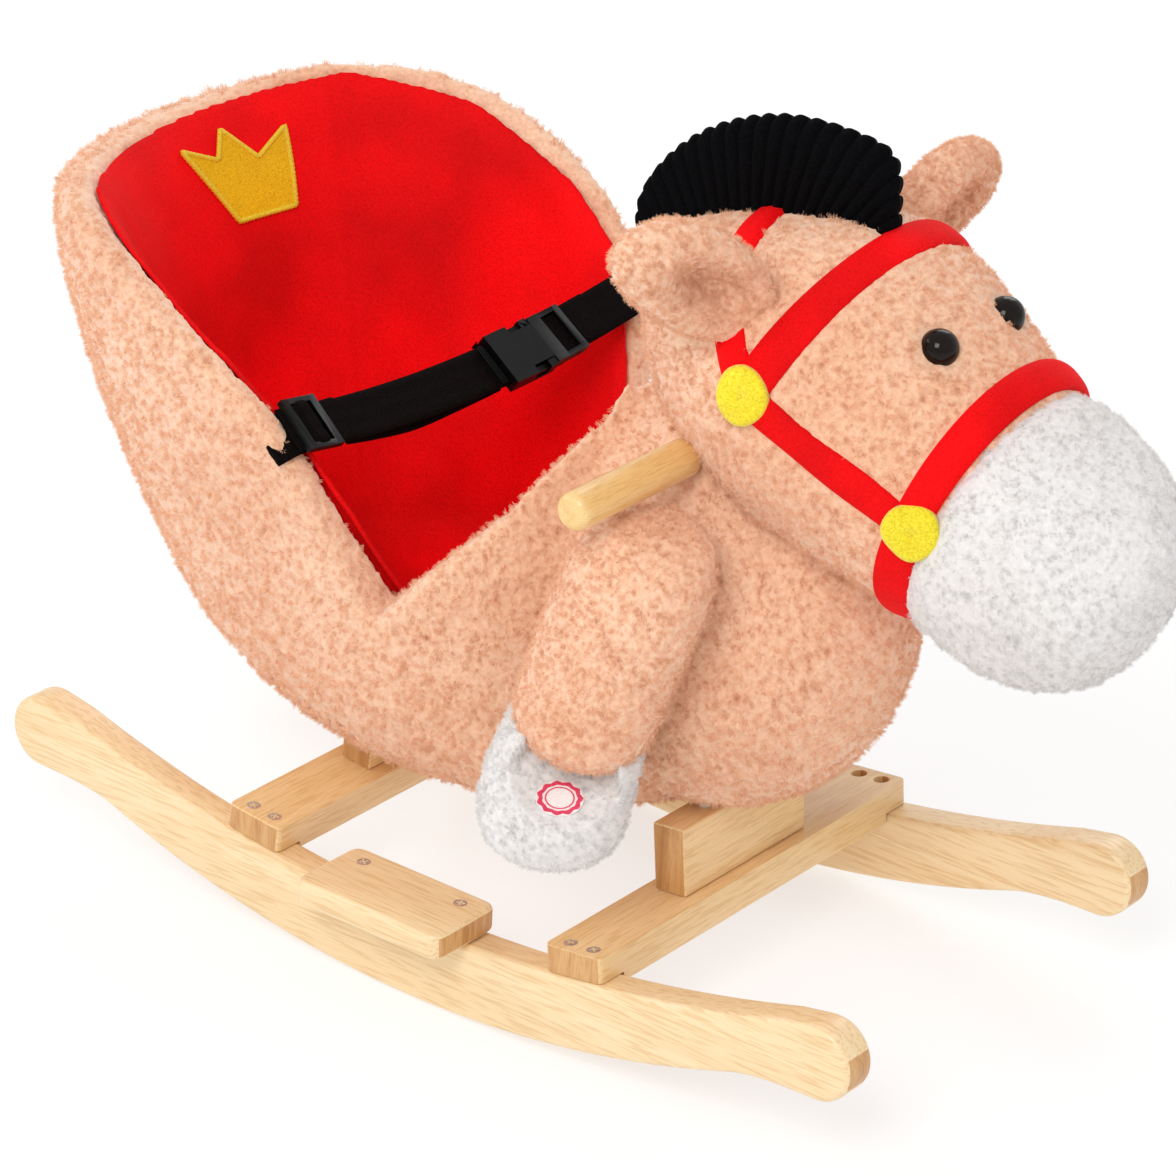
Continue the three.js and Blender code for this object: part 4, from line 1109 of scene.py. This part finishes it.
def belt_block(spans, material, name, body, bevel=1.1, segments=3):
    """Moulded plastic out of blocks along the belt, each (t0, t1, a0, a1, u0, u1), with rounded edges."""
    obj = None
    for t0, t1, a0, a1, u0, u1 in spans:
        points = [belt_place(t, a * BUCKLE_SLIM, u) for t in (t0, t1) for a in (a0, a1) for u in (u0, u1)]
        faces = [(0, 1, 3, 2), (4, 6, 7, 5), (0, 4, 5, 1), (2, 3, 7, 6), (0, 2, 6, 4), (1, 5, 7, 3)]
        block = add_object(name if obj is None else "block", points, faces, material, smooth=False)
        if obj is None:
            obj = block
            continue
        modify(obj, "BOOLEAN", operation="UNION", object=block, solver="EXACT")
        settle(obj)
        bpy.data.objects.remove(block)
    modify(obj, "BEVEL", width=bevel * 0.001, segments=segments, limit_method="ANGLE", angle_limit=math.radians(40),
           harden_normals=False)
    settle(obj)
    shade_by_angle(obj)
    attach(obj, body)
    return obj


def shade_by_angle(obj, degrees=35):
    """Smooth faces with sharp edges where they meet at more than this angle."""
    mesh = bmesh.new()
    mesh.from_mesh(obj.data)
    for edge in mesh.edges:
        if len(edge.link_faces) == 2:
            edge.smooth = edge.calc_face_angle(0) < math.radians(degrees)
    mesh.to_mesh(obj.data)
    mesh.free()
    obj.data.polygons.foreach_set("use_smooth", [True] * len(obj.data.polygons))


def belt():
    (s0, s1), (p0, p1), (g0, g1) = SOCKET_AT, PLUG_AT, SLIDER_AT
    webbing = web_material()
    plastic = worn_material("buckle_plastic", ("030304", "08090b"), 0.42, 260, 0.2, Specular_IOR_Level=0.18)
    near = web("belt_strap_right_web", [(0.0, -10, 0), (0.035, -2.5, 0), (0.08, 0, 0), (0.2, 0, 1), (0.46, 0, 0), (s0 + 0.033, 0, 0)], webbing)
    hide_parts("belt_strap_right")
    web("belt_tail_web", [(0.155, -2.6, 0), (0.25, -5, -7), (0.36, -7.5, -12), (0.47, -4.5, -6), (s0 + 0.01, -2.4, 0)],
        webbing)
    far = web("belt_strap_left_web", [(p0 + 0.031, 0, 0), (0.86, 0.4, 0), (0.93, 0.4, 1), (1.0, 0, 2)], webbing, None)
    mm(belt_point(0.85))
    mm(belt_point(0.97))
    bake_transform(far)
    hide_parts("belt_strap_left")
    web("belt_hem_web", [(p1 + 0.003, 1.9, 0), (p1 + 0.03, 2.3, 0), (p1 + 0.06, 2.1, 0), (p1 + 0.067, 1.9, 0)], webbing, "buckle_plug")

    length = s1 - s0
    socket = belt_block([
        (s0, s0 + 0.02, -16.5, 16.5, -4, 2.5), (s0 + 0.02, s0 + 0.034, -16.5, -13, -4, 2.5),
        (s0 + 0.02, s0 + 0.034, 13, 16.5, -4, 2.5), (s0 + 0.033, s0 + length * 0.62, -16.5, 16.5, -4.5, 4.5),
        (s0 + length * 0.6, s1, -11.5, 11.5, -4.5, 4.5), (s0 + length * 0.6, s1, -16.5, 16.5, -4.5, -2.6),
        (s1 - 0.02, s1, -16.5, 16.5, -4.5, 3.6),
    ], plastic, "buckle_socket_moulded", "horse")
    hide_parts("buckle_socket")
    ridges = [(s0 + 0.006 + 0.0055 * k, s0 + 0.0085 + 0.0055 * k, -13, 13, 2.2, 3.2) for k in range(3)]
    for k, ridge in enumerate(ridges):
        belt_block([ridge], plastic, f"buckle_ridge_{k}", "horse", 0.3, 2)
    plug = belt_block([
        (p0, p0 + 0.03, -15.5, 15.5, -4, 4), (p0 + 0.028, p1 - 0.012, -15.5, -12.5, -3, 3),
        (p0 + 0.028, p1 - 0.012, 12.5, 15.5, -3, 3), (p1 - 0.016, p1, -15.5, 15.5, -3, 3),
        (p0 - 0.06, p0 + 0.002, -2, 2, -1.2, 1.2), (p0 - 0.055, p0 + 0.002, -15.4, -12.2, -1.6, 1.6),
        (p0 - 0.055, p0 + 0.002, 12.2, 15.4, -1.6, 1.6),
    ], plastic, "buckle_plug_moulded", "buckle_plug", 0.8)
    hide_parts("buckle_plug")
    mid = (g0 + g1) / 2
    rise = 1.6
    slider = belt_block([
        (g0, g0 + 0.017, -16.5, 16.5, rise, rise + 3.4), (g1 - 0.017, g1, -16.5, 16.5, rise, rise + 3.4),
        (g0 + 0.016, g1 - 0.016, -16.5, -13, rise, rise + 3.4), (g0 + 0.016, g1 - 0.016, 13, 16.5, rise, rise + 3.4),
        (mid - 0.008, mid + 0.008, -13.5, 13.5, rise, rise + 2.6),
    ], plastic, "belt_slider_moulded", "belt_slider", 1.0)
    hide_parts("belt_slider")
    web("belt_loop_web", [(g0 - 0.01, 0.6, 0), (g0 + 0.02, 3.1, 0), (mid - 0.01, 5.2, 0), (mid + 0.012, 5.0, 0),
                          (g1 - 0.022, 2.4, 0), (g1 + 0.012, 0.9, 0), (g1 + 0.05, 1.7, 0)], webbing)


# ---------- press patch ----------
def press_patch():
    cloth = cloth_material("patch_cloth", ("e8dcd8", "f6ecea", "fdf6f4", "f6f0ee"), 0.8, 1500, 0.3, 20)
    pink = cloth_material("patch_print", ("c81e46", "e0325a", "ee5a7c", "f4e0e4"), 0.7, 1500, 0.3, 20)
    normal = Vector(PRESS["normal"]).normalized()
    right = Vector((0, 0, 1)).cross(normal).normalized()
    up = normal.cross(right)
    at, (wide, tall) = Vector(PRESS["at"]), PRESS["radii"]

    def spot(r, a, lift):
        return at + right * wide * r * math.cos(a) + up * tall * r * math.sin(a) + normal * lift

    def layer(name, reach, low, high, material, hole=None):
        count = 96
        angles = [2 * math.pi * i / count for i in range(count)]
        outer_low = [spot(reach(a), a, low) for a in angles]
        outer_high = [spot(reach(a), a, high - 0.15) for a in angles]
        points, faces = outer_low + outer_high, []
        ring = [spot(reach(a) * 0.96 if hole is None else max(reach(a) - 0.03, hole(a)), a, high) for a in angles]
        points += ring
        inner = [spot(0 if hole is None else hole(a), a, high) for a in angles]
        if hole is None:
            inner = [spot(0.5, a, high + 0.25) for a in angles]
        points += inner
        for j in range(count):
            k = (j + 1) % count
            for row in range(3):
                faces.append((row * count + j, row * count + k, (row + 1) * count + k, (row + 1) * count + j))
        if hole is None:
            faces.append(tuple(range(3 * count, 4 * count)))
            faces.append(tuple(range(count)))
        else:
            points += [spot(hole(a), a, low) for a in angles]
            for j in range(count):
                k = (j + 1) % count
                faces.append((3 * count + j, 3 * count + k, 4 * count + k, 4 * count + j))
                faces.append((4 * count + j, 4 * count + k, k, j))
        obj = add_object(name, points, faces, material)
        shade_by_angle(obj)
        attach(obj, "press_button")
        return obj

    def burst(a):
        return 0.86 + 0.12 * abs(((a * 11 / math.pi) % 2) - 1)

    patch = layer("press_patch_cloth", lambda a: 1.0, -1.2, 0.0, cloth)
    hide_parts("press_patch")
    layer("press_patch_burst", burst, -0.1, 0.35, pink, hole=lambda a: 0.7 + 0.05 * abs(((a * 11 / math.pi) % 2) - 1))
    layer("press_patch_ring", lambda a: 0.62, -0.1, 0.45, pink, hole=lambda a: 0.56)


# ---------- timber ----------
def rocker_outline(grow=0.0):
    half = []
    reach = math.asin(ROCKER["arc_x"] / ROCKER["r"])
    for a in np.linspace(0, reach, 30):
        r = ROCKER["r"] + grow
        half.append((r * math.sin(a), ROCKER["r"] - r * math.cos(a)))
    tip_low = ROCKER["tip_z"] - ROCKER["tip_r"] - grow
    start, middle, end = np.array(half[-1]), np.array((213, tip_low)), np.array((ROCKER["tip_x"], tip_low))
    for t in np.linspace(0, 1, 12)[1:-1]:
        half.append(tuple((1 - t) ** 2 * start + 2 * t * (1 - t) * middle + t * t * end))
    for a in np.linspace(-math.pi / 2, math.pi * 0.56, 26):
        r = ROCKER["tip_r"] + grow
        half.append((ROCKER["tip_x"] + r * math.cos(a), ROCKER["tip_z"] + r * math.sin(a)))
    shoulder = half[-1]
    top = []
    for x in np.linspace(226, 0, 26):
        r = ROCKER["top_r"] - grow
        top.append((x, ROCKER["mid"] + ROCKER["top_r"] - math.sqrt(r * r - x * x)))
    ease = [((1 - t) * shoulder[0] + t * top[0][0], (1 - t) * shoulder[1] + t * top[0][1]) for t in (0.33, 0.66)]
    half += ease + top
    return half + [(-x, z) for x, z in half[-2:0:-1]]


def rounded_rectangle(x0, x1, y0, y1, r, steps=6):
    points = []
    for cx, cy, start in ((x1 - r, y1 - r, 0), (x0 + r, y1 - r, 90), (x0 + r, y0 + r, 180), (x1 - r, y0 + r, 270)):
        for i in range(steps + 1):
            a = math.radians(start + 90 * i / steps)
            points.append((cx + r * math.cos(a), cy + r * math.sin(a)))
    return points


def level_plate(outline, low, high):
    n = len(outline)
    points = np.array([(x, y, z) for z in (low, high) for x, y in outline], float)
    faces = [tuple(range(n)), tuple(range(n, 2 * n))]
    faces += [(i, (i + 1) % n, n + (i + 1) % n, n + i) for i in range(n)]
    return points, faces


def on_bar(points, end):
    """From a crossbar's own place, with its top at zero, to where the bar is."""
    points = lean(np.array(points, float), end * TILT, (0, 0))
    return points + (end * BAR["x"], 0, BAR["top"])


def lathe(profile, count=40):
    """Turned about Z from (radius, height) rows."""
    rings = [ellipse((0, 0, z), (max(r, 0.01), 0, 0), (0, max(r, 0.01), 0), count) for r, z in profile]
    return loft(rings)


def finish_timber(obj, node, edge, end_material, along):
    """Eased edges, end grain on the sawn ends, and the piece's place in the frame."""
    modify(obj, "BEVEL", width=edge * 0.001, segments=4, limit_method="ANGLE", angle_limit=math.radians(50))
    settle(obj)
    axis = "xyz".index(along)
    obj.data.materials.append(end_material)
    for face in obj.data.polygons:
        if abs(face.normal[axis]) > 0.9:
            face.material_index = 1
    shade_by_angle(obj, 32)
    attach(obj, "horse")
    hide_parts(node)


def timber():
    light = ("ebca98", "efd0a1", "f3d9ad")
    end_grain = wood_material("pine_end", ("b07a44", "c8935a", "d8a970"), "z", 90, 0.5)
    rocker_wood = wood_material("pine_rocker", light, "x", 26)
    bar_wood = wood_material("pine_bar", ("e1b67b", "e8c38c", "eecb98"), "y", 34)
    for name, side in SIDES.items():
        low, high = (ROCKER_Y if side > 0 else (-ROCKER_Y[1], -ROCKER_Y[0]))
        rocker = add_object(f"rocker_{name}_pine", *prism(rocker_outline(), low, high), rocker_wood, smooth=False)
        finish_timber(rocker, f"rocker_{name}", 3.2, end_grain, "x")
        low, high = (FOOTREST["y"] if side > 0 else (-FOOTREST["y"][1], -FOOTREST["y"][0]))
        half = FOOTREST["length"] / 2
        outline = rounded_rectangle(FOOTREST["x"] - half, FOOTREST["x"] + half, low, high, FOOTREST["corner"])
        board = add_object(f"footrest_{name}_pine", *level_plate(outline, *FOOTREST["z"]), rocker_wood, smooth=False)
        finish_timber(board, f"footrest_{name}", 3.0, end_grain, "x")
    for name, end in (("front", 1), ("rear", -1)):
        half = BAR["width"] / 2
        outline = rounded_rectangle(-half, half, -BAR["length"] / 2, BAR["length"] / 2, 4)
        points, faces = level_plate(outline, -BAR["thick"], 0)
        bar = add_object(f"{name}_crossbar_pine", on_bar(points, end), faces, bar_wood, smooth=False)
        for low, high in (ROCKER_Y, (-ROCKER_Y[1], -ROCKER_Y[0])):
            cut(bar, [prism(rocker_outline(0.3), low - 0.3, high + 0.3)])
        if end > 0:
            points, faces = lathe([(4.1, -5), (4.1, 2)], 28)
            cut(bar, [(on_bar(points + (-7, 120, 0), end), faces), (on_bar(points + (7, 120, 0), end), faces)])
        finish_timber(bar, f"{name}_crossbar", 2.2, end_grain, "y")
        tall = BATTEN[name]
        points, faces = slab(-BATTEN["thick"] / 2, BATTEN["thick"] / 2, -50, 50, 0.3, tall + 10)
        batten = add_object(f"{name}_batten_pine", on_bar(points, end), faces, bar_wood, smooth=False)
        cut(batten, [slab(-400, 400, -200, 200, SEAT_Z - 0.3, SEAT_Z + 200, TILT, (SEAT_X, SEAT_Z))])
        finish_timber(batten, f"{name}_batten", 1.2, end_grain, "y")
    grips(wood_material("dowel", ("e0b26c", "e9bf7c", "efcb8c"), "y", 60, 0.34))


def grips(material):
    r, inner, outer = HANDLE["r"], HANDLE["inner"], HANDLE["outer"]
    profile = [(0, inner), (r - 1.6, inner), (r - 0.4, inner + 0.7), (r, inner + 2)]
    profile += [(r, y) for y in np.linspace(inner + 8, outer - 6, 8)]
    profile += [(r - 5 * (1 - math.cos(a)), outer - 5 + 5 * math.sin(a)) for a in np.linspace(0.2, 1.57, 8)]
    profile += [(2.5, outer), (0, outer)]
    for name, side in SIDES.items():
        points, faces = lathe(profile, 48)
        points = np.stack([points[:, 0] + HANDLE["x"], side * points[:, 2], points[:, 1] + HANDLE["z"]], axis=1)
        grip = add_object(f"handle_grip_{name}_dowel", points, faces, material)
        shade_by_angle(grip, 50)
        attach(grip, "horse")
        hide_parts(f"handle_grip_{name}")


def screw_mesh():
    """A domed countersunk head with a cross recess, on a plain shank. Its top rim is at zero."""
    radii = np.linspace(0, 3.8, 20)[1:]
    angles = np.linspace(0, 2 * np.pi, 64, endpoint=False)
    points = [(0, 0, -1.3)]
    for r in radii:
        for a in angles:
            x, y = r * math.cos(a), r * math.sin(a)
            in_cross = min(abs(x), abs(y)) < 0.55 and max(abs(x), abs(y)) < 2.3
            points.append((x, y, -1.3 if in_cross else 0.45 * (1 - (r / 3.8) ** 2) - 0.05))
    n, m = len(angles), len(radii)
    faces = [(0, 1 + j, 1 + (j + 1) % n) for j in range(n)]
    for i in range(m - 1):
        for j in range(n):
            k = (j + 1) % n
            faces.append((1 + i * n + j, 1 + (i + 1) * n + j, 1 + (i + 1) * n + k, 1 + i * n + k))
    last = 1 + (m - 1) * n
    for r, z in ((3.7, -0.6), (1.8, -3.0), (1.8, -28), (0.3, -32)):
        start = len(points)
        points += [(r * math.cos(a), r * math.sin(a), z) for a in angles]
        faces += [(last + j, start + j, start + (j + 1) % n, last + (j + 1) % n) for j in range(n)]
        last = start
    faces.append(tuple(range(last, last + n)))
    return np.array(points), faces


def fasteners():
    zinc = worn_material("zinc", ("c6c9cd", "e4e6e8"), 0.38, 900, 0.3, Metallic=1.0)
    cap = worn_material("bolt_cap", ("e6e6e2", "f4f4f0"), 0.4, 500, 0.15)
    points, faces = screw_mesh()
    places = []
    for bar, end in (("front", 1), ("rear", -1)):
        for name, side in SIDES.items():
            for i, step in enumerate((-7, 7)):
                sunk = -4 if end > 0 and side > 0 else 0
                spin = spun(points, 0.4 + i + end)
                places.append((f"{bar}_bar_screw_{name}_{i + 1}", on_bar(spin + (step, side * 120, sunk), end)))
    for name, side in SIDES.items():
        for i, step in enumerate((-31, 31)):
            at = (FOOTREST["x"] + step, side * 120, FOOTREST["z"][1])
            places.append((f"footrest_screw_{name}_{i + 1}", spun(points, 0.9 + i) + at))
    for node, placed in places:
        put_fastener(node, placed, faces, zinc)
    for bar, end in (("front", 1), ("rear", -1)):
        length = BAR["thick"] + BATTEN[bar] + 16
        dome = [(6.5 * math.cos(a), -0.6 - 3.2 * math.sin(a)) for a in np.linspace(1.5, 0, 9)]
        profile = dome + [(6.5, -0.3), (3.0, -0.3), (3.0, length)]
        shape, shape_faces = lathe(profile, 40)
        for name, side in SIDES.items():
            placed = on_bar(shape + (0, side * 19.5, -BAR["thick"]), end)
            put_fastener(f"{bar}_seat_bolt_{name}", placed, shape_faces, cap)


def spun(points, angle):
    c, s = math.cos(angle), math.sin(angle)
    return points @ np.array(((c, s, 0), (-s, c, 0), (0, 0, 1)))


def put_fastener(node, points, faces, material):
    obj = add_object(f"{node}_turned", points, faces, material)
    shade_by_angle(obj, 40)
    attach(obj, "horse")
    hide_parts(node)


# ---------- pieces inside the plush ----------
def inner_pieces():
    plywood = wood_material("plywood", ("b98f5e", "caa675", "dabb8c"), "x", 40, 0.7)
    foam = cloth_material("foam", ("d8d2c0", "eee9da", "faf6ea", "ece8dc"), 0.9, 700, 0.6)
    plastic = worn_material("module_plastic", ("e9e9e4", "f6f6f2"), 0.5, 300)
    looks = {"seat_board": plywood, "back_board": plywood, "neck_post": plywood, "handle_rod": plywood,
             "seat_foam": foam, "sound_case": plastic, "sound_button": plastic}
    for node, material in looks.items():
        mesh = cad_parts[node].data
        mesh.materials.clear()
        mesh.materials.append(material)


def build():
    camera()
    studio()
    body, plush, plush_fibre = body_plush()
    head_tree = head_plush(plush, plush_fibre)
    white = muzzle_plush()
    limbs((plush, plush_fibre), white)
    ears((plush, plush_fibre))
    red, lining_tree = seat_lining()
    crown(lining_tree)
    mane()
    bridle(head_tree, red)
    felt_discs(head_tree)
    eyes()
    belt()
    press_patch()
    timber()
    fasteners()
    inner_pieces()
    grow_all_fibres()


build()
bpy.context.view_layer.update()
